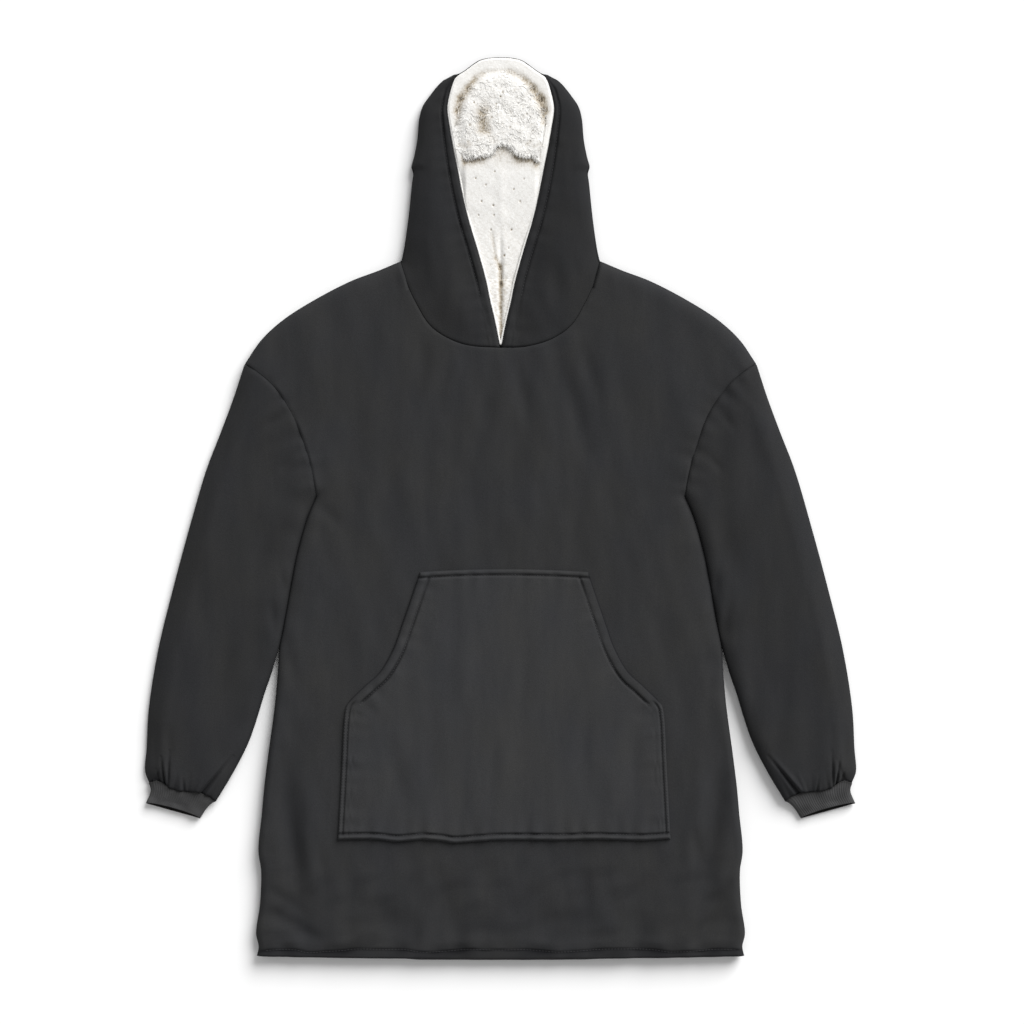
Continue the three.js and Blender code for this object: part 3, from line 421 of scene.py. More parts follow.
# Each piece's fleece has its own tone, lighter or darker to stand in for how the light falls on it and
# its nap: painted light and shade.
body_fleece = fleece("body_fleece", 0.0266)
side_line = smooth_line(SIDE_SEAM)
hem_stray = smooth_line(HEM_STRAY)
armhole_line = smooth_line(ARMHOLE)
shoulder_line = smooth_line(SHOULDER)
front_neck_line = smooth_line(FRONT_NECK)


def hem_distance(x, y):
    """How far a point is above the hem's fold, which lifts a little towards both corners."""
    return y - HEM_Y - HEM_CORNER_LIFT * (x / SIDE_SEAM[0][0]) ** 2


def hem_bottom(x):
    """The front's lower edge. It steps up a little towards both corners, where the back shows."""
    left, right = HEM_STEPS
    steps = ease(-x, -left - 0.010, -left + 0.014) + ease(x, right - 0.010, right + 0.016)
    return HEM_STEP * steps - hem_distance(x, 0)


def hem_seam(x, y):
    """How far a point is above the hem's stitching, and how strongly the hem is drawn in there."""
    stray = np.interp(x, *hem_stray.T)
    drawn = sum(strength * dip(x - place, width) for place, width, strength in HEM_GATHERS)
    return y - HEM_Y - HEM_SEAM - stray, drawn


def edge_reach(y):
    """The body's sides are rounder above than below the sleeves, where they stand a little fuller."""
    return EDGE_REACH - 0.010 * ease(-y, 0.180, 0.300)


def front_surface(x, y):
    """The outer face of the front, and the shade painted at each place, with some uneven tone."""
    half = np.abs(x)
    side, side_place = nearest(side_line, half, y)
    shoulder = nearest(shoulder_line, half, y)[0]
    armhole, armhole_place = nearest(armhole_line, half, y)
    neck, neck_place = nearest(front_neck_line, half, y)
    outline = np.minimum(side, shoulder)
    above_stitch, gathered = hem_seam(x, y)
    swap = np.where(x < 0, 2.7, 0)
    reach = edge_reach(y)
    swell = (TOP_Z - MIDDLE_Z - SEAM_CLOTH) * rounded(outline, reach)
    swell *= rounded(hem_distance(x, y) + 0.001, HEM_ROLL / 3)
    seams = ARMHOLE_GROOVE * dip(armhole, GROOVE_WIDTH) + NECK_GROOVE * dip(neck, GROOVE_WIDTH)
    groove = (HEM_GROOVE + 0.0012 * gathered) * dip(above_stitch + 0.0010, 0.0030)
    tucks = HEM_TUCK * gathered * dip(above_stitch - 0.0030, 0.0050)
    roll = 0.0004 * dip(above_stitch + HEM_ROLL / 2, 0.006)
    ridge = 0.0005 * dip(above_stitch - 0.012, 0.007) * (0.6 + gathered)
    drawn = 0.0016 * puckers(armhole, armhole_place + swap, 0.016, 0.030, 6)
    drawn += 0.0006 * puckers(neck, neck_place + swap, 0.018, 0.034, 7)
    drawn += 0.0014 * puckers(np.abs(above_stitch), x, 0.016, 0.030, 8)
    drawn += 0.0014 * puckers(side, side_place + swap, 0.016, 0.045, 9)
    soft = 0.0008 * wander(x, y, 0.060, 0.200, 10) + 0.0003 * wander(x, y, 0.022, 0.060, 11)
    folds = creases(FRONT_CREASES, x, y)
    relief = seams + groove + tucks - roll - ridge - drawn - soft + folds
    lowered = np.minimum(swell, relief * rounded(outline, EDGE_REACH))
    height = MIDDLE_Z + SEAM_CLOTH + np.maximum(swell - lowered, 0)
    nipped = 0.7 + 0.5 * wander(x, y, 0.05, 0.05, 12)
    ends = 0.20 + 0.30 * ease(np.abs(armhole_place - 0.110), 0.030, 0.090)
    # Painted shade along the seams, in the hem's groove and gathers, beside the sleeve, in the creases
    # and puckers and at the outline. The patches towards the hem are an uneven darker tone.
    painted_shade_and_tone = nipped * (ends * dip(armhole, 0.0012) + 0.08 * dip(neck, 0.0012))
    shaded = np.where(above_stitch > 0, 0.0020, 0.0085)
    painted_shade_and_tone += (0.55 + 0.55 * gathered) * dip(above_stitch, shaded)
    painted_shade_and_tone += 0.12 * gathered * dip(above_stitch - 0.003, 0.005)
    patchy = np.clip(0.1 + wander(x, y, 0.060, 0.045, 13), 0, 1)
    painted_shade_and_tone += 0.20 * patchy * ease(-y, 0.430, 0.520)
    painted_shade_and_tone += 0.42 * dip(side, 0.0030) * ease(y, -0.205, -0.180) * (0.6 + 0.5 * nipped)
    painted_shade_and_tone += 22 * np.maximum(folds, 0) + 60 * np.maximum(-drawn - 0.0006, 0)
    painted_shade_and_tone += 0.5 * dip(outline, OUTLINE_SHADE) + 0.1 * dip(y - hem_bottom(x), OUTLINE_SHADE)
    return height, painted_shade_and_tone


def body_plan(neck_line, shares, side_shares, armhole_shares):
    """The plan of a body panel, from the hem to the shoulders and from right to left."""
    right = np.vstack([at_shares(side_line, side_shares), at_shares(armhole_line, armhole_shares)[1:]])
    left = right * (-1, 1)
    bottom = np.column_stack([shares * right[0, 0], hem_bottom(shares * right[0, 0])])
    right[0] = bottom[-1]
    left[0] = bottom[0]
    half = np.abs(shares) * SHOULDER_HALF
    on_neck = at_value(neck_line, 0, half)
    on_shoulder = at_value(shoulder_line, 0, half)
    top = np.where((half < NECK_HALF)[:, None], on_neck, on_shoulder)
    top[:, 0] *= np.sign(shares)
    along = (right[:, 1] - right[0, 1]) / (right[-1, 1] - right[0, 1])
    return fill_between(left, right, bottom, top, (shares + 1) / 2, along, top_fade=4)


def raise_grid(plan, surface):
    """The points of a plan, raised to a surface, and the shade and tone painted at each."""
    height, painted_shade_and_tone = surface(plan[..., 0], plan[..., 1])
    return np.dstack([plan, height]), painted_shade_and_tone


neck_share = NECK_HALF / SHOULDER_HALF
half_shares = spread([0, 0.8 * neck_share, neck_share, 0.9, 0.965, 1], [25, 16, 36, 8, 9])
front_shares = np.concatenate([-half_shares[:0:-1], half_shares])
side_shares = spread([0, 0.012, 0.06, 1], [9, 26, 130])
armhole_shares = spread([0, 0.08, 0.92, 1], [5, 40, 5])
front_plan = body_plan(front_neck_line, front_shares, side_shares, armhole_shares)
front_grid, front_painted_shade_and_tone = raise_grid(front_plan, front_surface)
body_front = panel_on_plane(
    "body_front_cloth", front_grid, MIDDLE_Z + SEAM_GAP / 2, body_fleece, front_painted_shade_and_tone
)
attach(body_front, "root")
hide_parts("body_front")


# Back of the body. The same cloth, cut higher at the neck. It lies on the surface, so its
# outer face is flat and only turns up at the side seams, the shoulders and the hem.
BACK_NECK = [(0.137, 0.338), (0.112, 0.325), (0.072, 0.313), (0.036, 0.308), (0.000, 0.306)]

back_neck_line = smooth_line(BACK_NECK)


def back_surface(x, y):
    """The back's outer face, which the hoodie lies on, and the shade painted at each place."""
    half = np.abs(x)
    side, side_place = nearest(side_line, half, y)
    shoulder = nearest(shoulder_line, half, y)[0]
    outline = np.minimum(side, shoulder)
    hem = hem_distance(x, y)
    lift = 1 - rounded(outline, edge_reach(y)) * rounded(hem + 0.001, HEM_ROLL / 2)
    groove = 0.0016 * dip(hem - HEM_ROLL, 0.0025) * rounded(outline, EDGE_REACH)
    drawn = 0.0005 * (1 + puckers(side, side_place, 0.012, 0.045, 21)) * dip(side, 0.014)
    # Painted shade in the hem's groove and along the outline.
    painted_shade_and_tone = 0.6 * dip(hem - HEM_ROLL, 0.002) + 0.5 * dip(outline, OUTLINE_SHADE)
    return (MIDDLE_Z - SEAM_CLOTH - 0.0006) * lift + groove + drawn, painted_shade_and_tone


back_half_shares = spread([0, neck_share, 0.9, 0.965, 1], [12, 14, 5, 7])
back_shares = np.concatenate([-back_half_shares[:0:-1], back_half_shares])
back_side_shares = spread([0, 0.012, 0.05, 1], [6, 8, 70])
back_armhole_shares = spread([0, 0.08, 0.92, 1], [4, 20, 4])
back_plan = body_plan(back_neck_line, back_shares, back_side_shares, back_armhole_shares)
back_grid, back_painted_shade = raise_grid(back_plan, back_surface)
body_back = panel_on_plane(
    "body_back_cloth", back_grid, MIDDLE_Z - SEAM_GAP / 2, body_fleece, back_painted_shade
)
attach(body_back, "root")
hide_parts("body_back")


# Sleeves. Each is one panel, folded along its outer edge and closed by the underarm seam, so
# it lies as a flattened tube. The cuff draws its end in, in uneven gathers.
SLEEVE_OUTER = [
    (0.3505, 0.1983), (0.365, 0.155), (0.384, 0.104), (0.404, 0.052), (0.428, -0.030),
    (0.450, -0.112), (0.470, -0.194), (0.483, -0.276), (0.486, -0.330), (0.488, -0.362),
    (0.4825, -0.377),
]
SLEEVE_INNER = [
    (0.2535, 0.013), (0.2655, -0.016), (0.2780, -0.061), (0.2844, -0.092), (0.2930, -0.140),
    (0.2986, -0.170), (0.3036, -0.192), (0.317, -0.236), (0.322, -0.250), (0.344, -0.318),
    (0.366, -0.362), (0.390, -0.402),
]
CUFF_END_Z = 0.0145
SLEEVE_TUCK = 0.0008
SLEEVE_FOLD_Z = 0.0045
SLEEVE_FOLD_REACH = 0.032
FLOOR_CLEAR = 0.0002
THINNEST = 0.0003
# Gathers at the cuff: where across the sleeve, how far towards its outer edge each leans as
# it runs up, how long, how wide and how deep. A minus depth is the swell between two.
GATHERS = [
    (0.07, -0.10, 0.040, 0.030, 0.0020),
    (0.31, -0.05, 0.036, 0.028, -0.0020),
    (0.40, 0.06, 0.034, 0.026, 0.0014),
    (0.52, 0.04, 0.030, 0.030, -0.0020),
    (0.62, 0.02, 0.034, 0.024, 0.0016),
    (0.90, -0.06, 0.044, 0.026, 0.0022),
]
# How far up the sleeve's end strays from a straight line, at shares across it.
SLEEVE_END_STRAY = [
    (0.0, 0.0), (0.10, 0.0050), (0.26, 0.0064), (0.42, 0.0030), (0.56, 0.0006), (0.68, 0.0012),
    (0.80, 0.0060), (0.88, 0.0066), (0.96, 0.0022), (1.0, 0.0),
]
SLEEVE_CREASES = [
    (0.298, 0.010, 0.340, -0.130, 0.020, 0.0024),
    (0.350, -0.120, 0.392, -0.300, 0.024, 0.0022),
    (0.420, -0.060, 0.446, -0.220, 0.022, 0.0014),
    (0.330, 0.140, 0.372, 0.020, 0.018, 0.0016),
    (0.314, -0.120, 0.304, -0.186, 0.007, 0.0026),
    (0.300, -0.080, 0.292, -0.124, 0.006, 0.0020),
    (0.282, 0.070, 0.306, 0.050, 0.006, 0.0018),
    (0.300, 0.130, 0.322, 0.106, 0.006, 0.0018),
    (0.3660, -0.3390, 0.4480, -0.4350, 0.0019, 0.0058),
    (0.3690, -0.3370, 0.4510, -0.4330, 0.0036, -0.0026),
    (0.3830, -0.3620, 0.4370, -0.4300, 0.0018, 0.0034),
    (0.4645, -0.3400, 0.4535, -0.4260, 0.0018, 0.0056),
    (0.4605, -0.3400, 0.4495, -0.4260, 0.0028, -0.0024),
    (0.4528, -0.3320, 0.4582, -0.4340, 0.0018, 0.0046),
    (0.4710, -0.3580, 0.4590, -0.4060, 0.0018, 0.0044),
    (0.4350, -0.3660, 0.4310, -0.4100, 0.0019, 0.0024),
    (0.4560, -0.290, 0.4530, -0.350, 0.0070, 0.0016),
    (0.4720, -0.290, 0.4740, -0.368, 0.0070, 0.0018),
]

# The sleeves' fleece is darker than the body's, as painted shade for how the light falls on them.
sleeve_fleece = fleece("sleeve_fleece", 0.0232)
sleeve_rows = spread([0, 0.03, 0.12, 0.84, 1], [6, 10, 76, 84])
sleeve_columns = spread([0, 0.025, 0.10, 0.90, 0.975, 1], [5, 8, 68, 8, 5])
sleeve_inner_line = smooth_line(SLEEVE_INNER)
sleeve_outer_line = smooth_line(SLEEVE_OUTER)


def heading_of(line):
    """Which way a line runs at each of its points."""
    run = np.gradient(line, axis=0)
    return run / np.hypot(run[:, 0], run[:, 1])[:, None]


def beside(line, distance):
    """A line moved to its right, for what is sewn to it there."""
    run = heading_of(line)
    return line + distance * np.column_stack([run[:, 1], -run[:, 0]])


armhole_edge = at_shares(beside(armhole_line, -SLEEVE_TUCK), sleeve_columns)
sleeve_left_edge = at_shares(sleeve_inner_line, sleeve_rows)
sleeve_right_edge = at_shares(sleeve_outer_line, sleeve_rows)
sleeve_left_edge[0] = armhole_edge[0]
sleeve_right_edge[0] = armhole_edge[-1]
sleeve_end_run = sleeve_right_edge[-1] - sleeve_left_edge[-1]
sleeve_end = sleeve_left_edge[-1] + sleeve_columns[:, None] * sleeve_end_run
sleeve_end[:, 1] += np.interp(sleeve_columns, *zip(*SLEEVE_END_STRAY))
sleeve_plan = fill_between(
    sleeve_left_edge, sleeve_right_edge, armhole_edge, sleeve_end, sleeve_columns, sleeve_rows
)
sleeve_end_width = math.dist(sleeve_end[0], sleeve_end[-1])


def sleeve_places(x, y):
    """Distances from the sleeve's two edges and its end, the share across, and the place along."""
    inner, inner_place = nearest(sleeve_left_edge, x, y)
    outer = nearest(sleeve_right_edge, x, y)[0]
    end = nearest(sleeve_end, x, y)[0]
    run = (sleeve_end[-1] - sleeve_end[0]) / sleeve_end_width
    share = ((x - sleeve_end[0, 0]) * run[0] + (y - sleeve_end[0, 1]) * run[1]) / sleeve_end_width
    return inner, outer, end, share, inner_place


def gather_depth(end, share, seed):
    """The depth of the gathers above the cuff, a little different on each sleeve and layer."""
    chance = np.random.default_rng(seed)
    depth = np.zeros(np.shape(end))
    for across, lean, reach, width, deep in GATHERS:
        across += chance.uniform(-0.02, 0.02)
        deep *= chance.uniform(0.75, 1.2)
        fan = across + lean * end / reach
        fade = np.clip(1 - end / reach, 0, 1) ** 1.2
        depth += deep * fade * dip(share - fan, width + 0.10 * end)
    return depth


def settled(outer, armhole):
    """The folded outer edge sinks towards the surface once it is clear of the shoulder."""
    return (MIDDLE_Z - SLEEVE_FOLD_Z) * (1 - ease(outer, 0, 0.030)) * ease(armhole, 0, 0.070)


def sleeve_top(x, y, seed):
    """The sleeve's outer face over the middle plane, and the shade painted at each place."""
    inner, outer, end, share, place = sleeve_places(x, y)
    armhole, armhole_place = nearest(armhole_line, x, y)
    full = CUFF_END_Z - MIDDLE_Z + (TOP_Z + 0.001 - CUFF_END_Z) * rounded(end, 0.024)
    folds = creases(SLEEVE_CREASES, x, y)
    gathers = gather_depth(end, share, seed)
    drawn = 0.0018 * puckers(armhole, armhole_place, 0.020, 0.028, seed + 1)
    drawn += 0.0018 * puckers(inner, place, 0.022, 0.050, seed + 2)
    relief = 0.0018 * dip(armhole, 0.0026) + folds + gathers - drawn
    relief -= 0.0009 * wander(x, y, 0.060, 0.140, seed + 3)
    # Painted shade along the armhole seam, in creases, gathers and puckers, at the sleeve's end, along
    # its fold and beside the body.
    nipped = 0.7 + 0.5 * wander(x, y, 0.05, 0.05, seed + 4)
    ends = 0.20 + 0.30 * ease(np.abs(armhole_place - 0.110), 0.030, 0.090)
    painted_shade_and_tone = ends * nipped * dip(armhole, 0.0012) + 120 * np.maximum(folds - 0.0014, 0)
    painted_shade_and_tone += 90 * np.maximum(gathers - 0.0006, 0) + 60 * np.maximum(-drawn - 0.0007, 0)
    painted_shade_and_tone += 0.8 * dip(end, 0.0018) + 0.5 * dip(outer, 0.0014)
    painted_shade_and_tone += (0.42 + 0.2 * nipped) * dip(inner, 0.0026)
    fold_reach = EDGE_REACH + (SLEEVE_FOLD_REACH - EDGE_REACH) * ease(armhole, 0, 0.070)
    edge = rounded(inner, EDGE_REACH) * rounded(outer, fold_reach)
    lift = np.maximum((full - relief) * edge, THINNEST)
    return MIDDLE_Z + lift - settled(outer, armhole), painted_shade_and_tone


def sleeve_under(x, y, seed):
    """The sleeve's lower face, and the shade painted at each place."""
    inner, outer, end, share = sleeve_places(x, y)[:4]
    armhole = nearest(armhole_line, x, y)[0]
    outline = np.minimum(inner, outer)
    down = MIDDLE_Z - 0.003 + 0.003 * rounded(end, 0.018)
    gathers = np.maximum(gather_depth(end, share, seed + 5), 0)
    drawn = 0.6 * gathers * ease(0.05 - end, 0, 0.05)
    # Painted shade in the gathers, at the sleeve's end and along the outline.
    painted_shade_and_tone = 90 * gathers + 0.8 * dip(end, 0.0022) + 0.5 * dip(outline, OUTLINE_SHADE)
    drop = np.maximum((down - drawn) * rounded(outline, EDGE_REACH), THINNEST)
    return np.maximum(MIDDLE_Z - drop - settled(outer, armhole), FLOOR_CLEAR), painted_shade_and_tone


def laid_tube(plan, top, under, slot, inset, middle_z, fold_z):
    """The faces of a flattened tube, whose columns run over the top and back below, and the shade
    painted on them.
    """
    x, y = plan[..., 0], plan[..., 1]
    top_z, top_painted_shade = top(x, y)
    under_z, under_painted_shade = under(x, y)
    over = np.dstack([x, y, top_z])
    below = np.dstack([x, y, under_z])[:, -2:0:-1]
    over[:, 0, 2] = middle_z
    over[:, -1, 2] = fold_z
    centre = (plan[:, :1] + plan[:, -1:]) / 2
    width = np.hypot(*np.moveaxis(plan[:, -1] - plan[:, 0], -1, 0))
    keep = (1 - 2 * inset / width)[:, None, None]
    inside = centre + (plan - centre) * keep
    inner_over = np.dstack([inside, np.full(inside.shape[:2], middle_z + slot)])
    inner_over[:, [0, -1], 2] = middle_z
    inner_under = np.dstack([inside, np.full(inside.shape[:2], middle_z - slot)])[:, -2:0:-1]
    painted_shade_and_tone = np.hstack([top_painted_shade, under_painted_shade[:, -2:0:-1]])
    return np.hstack([over, below]), np.hstack([inner_over, inner_under]), painted_shade_and_tone


def tube_piece(name, outer, inner, mirrored, material, painted_shade_and_tone, inner_painted_shade=0.5):
    """A closed tube wall between an outer and an inner face, mirrored for the right-hand side; its
    inner face gets an even painted shade.
    """
    rows, columns = outer.shape[:2]
    count = rows * columns
    points = np.vstack([outer.reshape(-1, 3), inner.reshape(-1, 3)])
    shades = np.concatenate([painted_shade_and_tone.ravel(), np.full(count, inner_painted_shade)])
    j = np.arange(columns)
    after = (j + 1) % columns
    start = np.column_stack([j, j + count, after + count, after])
    last = (rows - 1) * columns
    end = np.column_stack([last + after, last + after + count, last + j + count, last + j])
    faces = np.vstack([
        grid_faces(rows, columns, closed=True, flip=True),
        grid_faces(rows, columns, first=count, closed=True),
        start[:, ::-1],
        end[:, ::-1],
    ])
    if mirrored:
        points = points * (-1, 1, 1)
        faces = faces[:, ::-1]
    return make_piece(name, points, faces, material, shades)


from_armhole = nearest(armhole_line, *sleeve_plan[:, -1].T)[0]
fold_heights = MIDDLE_Z - settled(0, from_armhole)
for side, mirrored, seed in (("left", False, 31), ("right", True, 51)):
    outer, inner, painted_shade_and_tone = laid_tube(
        sleeve_plan,
        lambda x, y: sleeve_top(x, y, seed),
        lambda x, y: sleeve_under(x, y, seed),
        slot=0.0002,
        inset=0.009,
        middle_z=MIDDLE_Z,
        fold_z=fold_heights,
    )
    sleeve = tube_piece(f"sleeve_{side}_cloth", outer, inner, mirrored, sleeve_fleece, painted_shade_and_tone)
    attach(sleeve, "root")
    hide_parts(f"sleeve_{side}")


# Cuffs. A band of rib knit, folded double, round each wrist. It is narrower than the sleeve,
# flares a little to its open end, and sinks to the surface.
CUFF_OUTER = [(0.4824, -0.3776), (0.480, -0.387), (0.487, -0.4055)]
CUFF_INNER = [(0.3899, -0.4026), (0.3965, -0.4055), (0.4035, -0.4125), (0.4125, -0.4262)]
CUFF_THICK = 0.0096
CUFF_SLOT = 0.0017
CUFF_WALL = 0.0034
CUFF_SEAM_Z = 0.009
CUFF_REST_Z = 0.005
RIBS_ACROSS = 27
RIB_HEIGHT = 0.00022
# How far the upper layer is set back at the open end, so that the inside of the lower one shows.
CUFF_MOUTH = 0.0046


def rib_knit(name, shade):
    """Charcoal rib knit: small stitches in rows, smooth and a little brighter than the fleece, and
    darkened by painted shade.
    """
    material, tree, shader = new_material(name)
    place = add_node(tree, "TexCoord", {}, "Object")
    stitches = add_node(tree, "TexVoronoi", {"Vector": place, "Scale": 900}, "Distance")
    cloudy = tones(tree, noise(tree, place, scale=60, detail=4), [
        (0.3, (shade * 0.82, shade * 0.82, shade * 0.84, 1)),
        (0.7, (shade * 1.18, shade * 1.18, shade * 1.2, 1)),
    ])
    # Painted shade: the shade that the mesh holds darkens the colour towards a warm near-black.
    feed(tree, shader, {
        "Base Color": blend(
            tree, "MULTIPLY", painted_shade_and_tone_attribute(tree), cloudy, (0.20, 0.19, 0.17, 1)
        ),
        "Roughness": 0.85,
        "Specular IOR Level": 0.15,
        "Sheen Weight": 0.08,
        "Sheen Tint": (0.6, 0.6, 0.62, 1),
        "Normal": fine_relief(tree, stitches, strength=0.6, distance=0.0004),
    })
    return material


cuff_knit = rib_knit("cuff_rib_knit", 0.052)
cuff_rows = spread([0, 0.15, 0.85, 1], [4, 12, 6])
cuff_columns = spread([0, 0.05, 0.95, 1], [8, 6 * RIBS_ACROSS, 8])
cuff_from = at_shares(smooth_line(CUFF_INNER), cuff_rows)
cuff_to = at_shares(smooth_line(CUFF_OUTER), cuff_rows)
cuff_width = np.hypot(*(cuff_to - cuff_from).T)
cuff_middle = CUFF_SEAM_Z + (CUFF_REST_Z - CUFF_SEAM_Z) * ease(cuff_rows, 0, 0.7)


def cuff_face(inset, half_thick, ribbed, seed):
    """One face of the cuff's tube: over the top from its inner edge, then back underneath."""
    u = cuff_columns[None, :]
    width = cuff_width[:, None]
    free = width - 2 * inset
    share = (inset + u * free) / width
    plan = cuff_from[:, None] + share[..., None] * (cuff_to - cuff_from)[:, None]
    lift = half_thick * rounded(np.minimum(u, 1 - u) * free, 0.009 - inset)
    if ribbed:
        ribs = np.cos(2 * math.pi * RIBS_ACROSS * u) * RIB_HEIGHT
        bulge = 0.0010 * wander(plan[..., 0], plan[..., 1], 0.035, 0.03, seed)
        lift = lift + (ribs + bulge) * np.clip(lift / half_thick, 0, 1)
        lift = lift * np.clip(np.minimum(u, 1 - u) / 0.004, 0, 1)
    middle = cuff_middle[:, None] + 0 * u
    open_share = np.sin(math.pi * np.clip(share, 0, 1)) ** 0.4
    stray = np.interp(share, *zip(*SLEEVE_END_STRAY)) * (1 - ease(cuff_rows, 0, 0.6))[:, None]
    plan[..., 1] += stray + 0.0006 * (1 - ease(cuff_rows, 0, 0.3))[:, None]
    back_set = CUFF_MOUTH * open_share * ease(cuff_rows, 0.5, 1)[:, None]
    run = cuff_to - cuff_from
    run /= np.hypot(*run.T)[:, None]
    upward = np.stack([-run[:, 1], run[:, 0]], -1)[:, None]
    upward = upward * np.sign(upward[..., 1:])
    over = np.dstack([plan + back_set[..., None] * upward, middle + lift])
    under = np.dstack([plan, middle - np.minimum(lift, middle - FLOOR_CLEAR)])[:, -2:0:-1]
    return np.hstack([over, under])


for side, mirrored, seed in (("left", False, 71), ("right", True, 81)):
    outer = cuff_face(0, CUFF_THICK / 2, True, seed)
    inner = cuff_face(CUFF_WALL, CUFF_SLOT, False, seed)
    # Painted shade in the valleys between the ribs and where the cuff meets the sleeve. The inner face,
    # seen at the open end, gets full painted shade.
    ribs = 0.05 - 0.05 * np.cos(2 * math.pi * RIBS_ACROSS * cuff_columns)
    painted_shade_and_tone = np.repeat(np.hstack([ribs, ribs[-2:0:-1]])[None], len(cuff_rows), 0)
    painted_shade_and_tone += 0.6 * dip(cuff_rows, 0.08)[:, None]
    cuff = tube_piece(f"cuff_{side}_knit", outer, inner, mirrored, cuff_knit, painted_shade_and_tone, 1.0)
    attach(cuff, "root")
    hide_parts(f"cuff_{side}")


# Pocket. One panel of the same fleece laid on the front. Its slanted openings and its top are
# turned and stitched twice, its sides are sewn down, and a rolled lip runs along the bottom.
POCKET_X = 0.005
POCKET_TOP_HALF = 0.115
POCKET_TOP_Y = -0.0875
POCKET_TOP_BOW = 0.004
POCKET_BOTTOM_Y = -0.453
POCKET_BOTTOM_BOW = 0.0035
POCKET_SIDE = [
    (0.2275, -0.453), (0.227, -0.444), (0.222, -0.350), (0.2185, -0.285), (0.215, -0.269),
    (0.191, -0.2435), (0.170, -0.224), (0.151, -0.191), (0.140, -0.160), (0.1265, -0.121),
    (0.115, -0.0875),
]
POCKET_CLOTH = 0.0042
POCKET_OPENING_Y = -0.266
POCKET_BAND = 0.014
POCKET_SEAM_INSET = 0.006
POCKET_TOP_BAND = 0.008
POCKET_LIP = 0.008
# How far the bottom edge strays from its even bow, at places across it.
POCKET_STRAY = [
    (-0.2275, -0.0008), (-0.205, 0.0006), (-0.174, 0.0012), (-0.147, -0.0012), (-0.111, 0.0022),
    (-0.086, 0.0006), (-0.068, -0.0018), (-0.044, -0.0002), (-0.010, 0.0022), (0.030, 0.0026),
    (0.080, 0.0016), (0.118, 0.0024), (0.150, 0.0012), (0.190, -0.0006), (0.2275, 0.0006),
]
POCKET_CREASES = [
    (-0.060, -0.110, -0.084, -0.300, 0.014, 0.0016),
    (-0.094, -0.240, -0.102, -0.400, 0.012, 0.0014),
    (0.030, -0.150, 0.022, -0.330, 0.013, 0.0014),
    (0.064, -0.270, 0.052, -0.420, 0.013, 0.0013),
    (0.120, -0.230, 0.104, -0.420, 0.015, 0.0016),
    (-0.160, -0.300, -0.130, -0.430, 0.012, 0.0018),
    (-0.010, -0.300, -0.016, -0.430, 0.011, 0.0013),
    (0.176, -0.280, 0.180, -0.420, 0.011, 0.0014),
    (-0.182, -0.340, -0.192, -0.430, 0.009, -0.0010),
    (0.146, -0.330, 0.150, -0.430, 0.010, -0.0010),
    (-0.196, -0.262, -0.170, -0.286, 0.007, 0.0012),
    (0.198, -0.264, 0.176, -0.290, 0.007, 0.0012),
]

# The pocket's fleece is lighter than the body's, as painted light for how the light falls on its nap.
pocket_fleece = fleece("pocket_fleece", 0.0332)
pocket_side_line = smooth_line(POCKET_SIDE)
pocket_stray = smooth_line(POCKET_STRAY)


def pocket_bottom_line(x):
    """The pocket's bottom edge, bowed and a little uneven."""
    share = x / POCKET_SIDE[0][0]
    return POCKET_BOTTOM_Y - POCKET_BOTTOM_BOW * (1 - share ** 2) + np.interp(x, *pocket_stray.T)


def pocket_edges(x, y):
    """Distances from the pocket's side or opening, its bottom and its top."""
    half = np.abs(x)
    side, place = nearest(pocket_side_line, half, y)
    bottom = y - pocket_bottom_line(x)
    top = POCKET_TOP_Y + POCKET_TOP_BOW * (1 - (half / POCKET_TOP_HALF) ** 2) - y
    return side, bottom, top, place


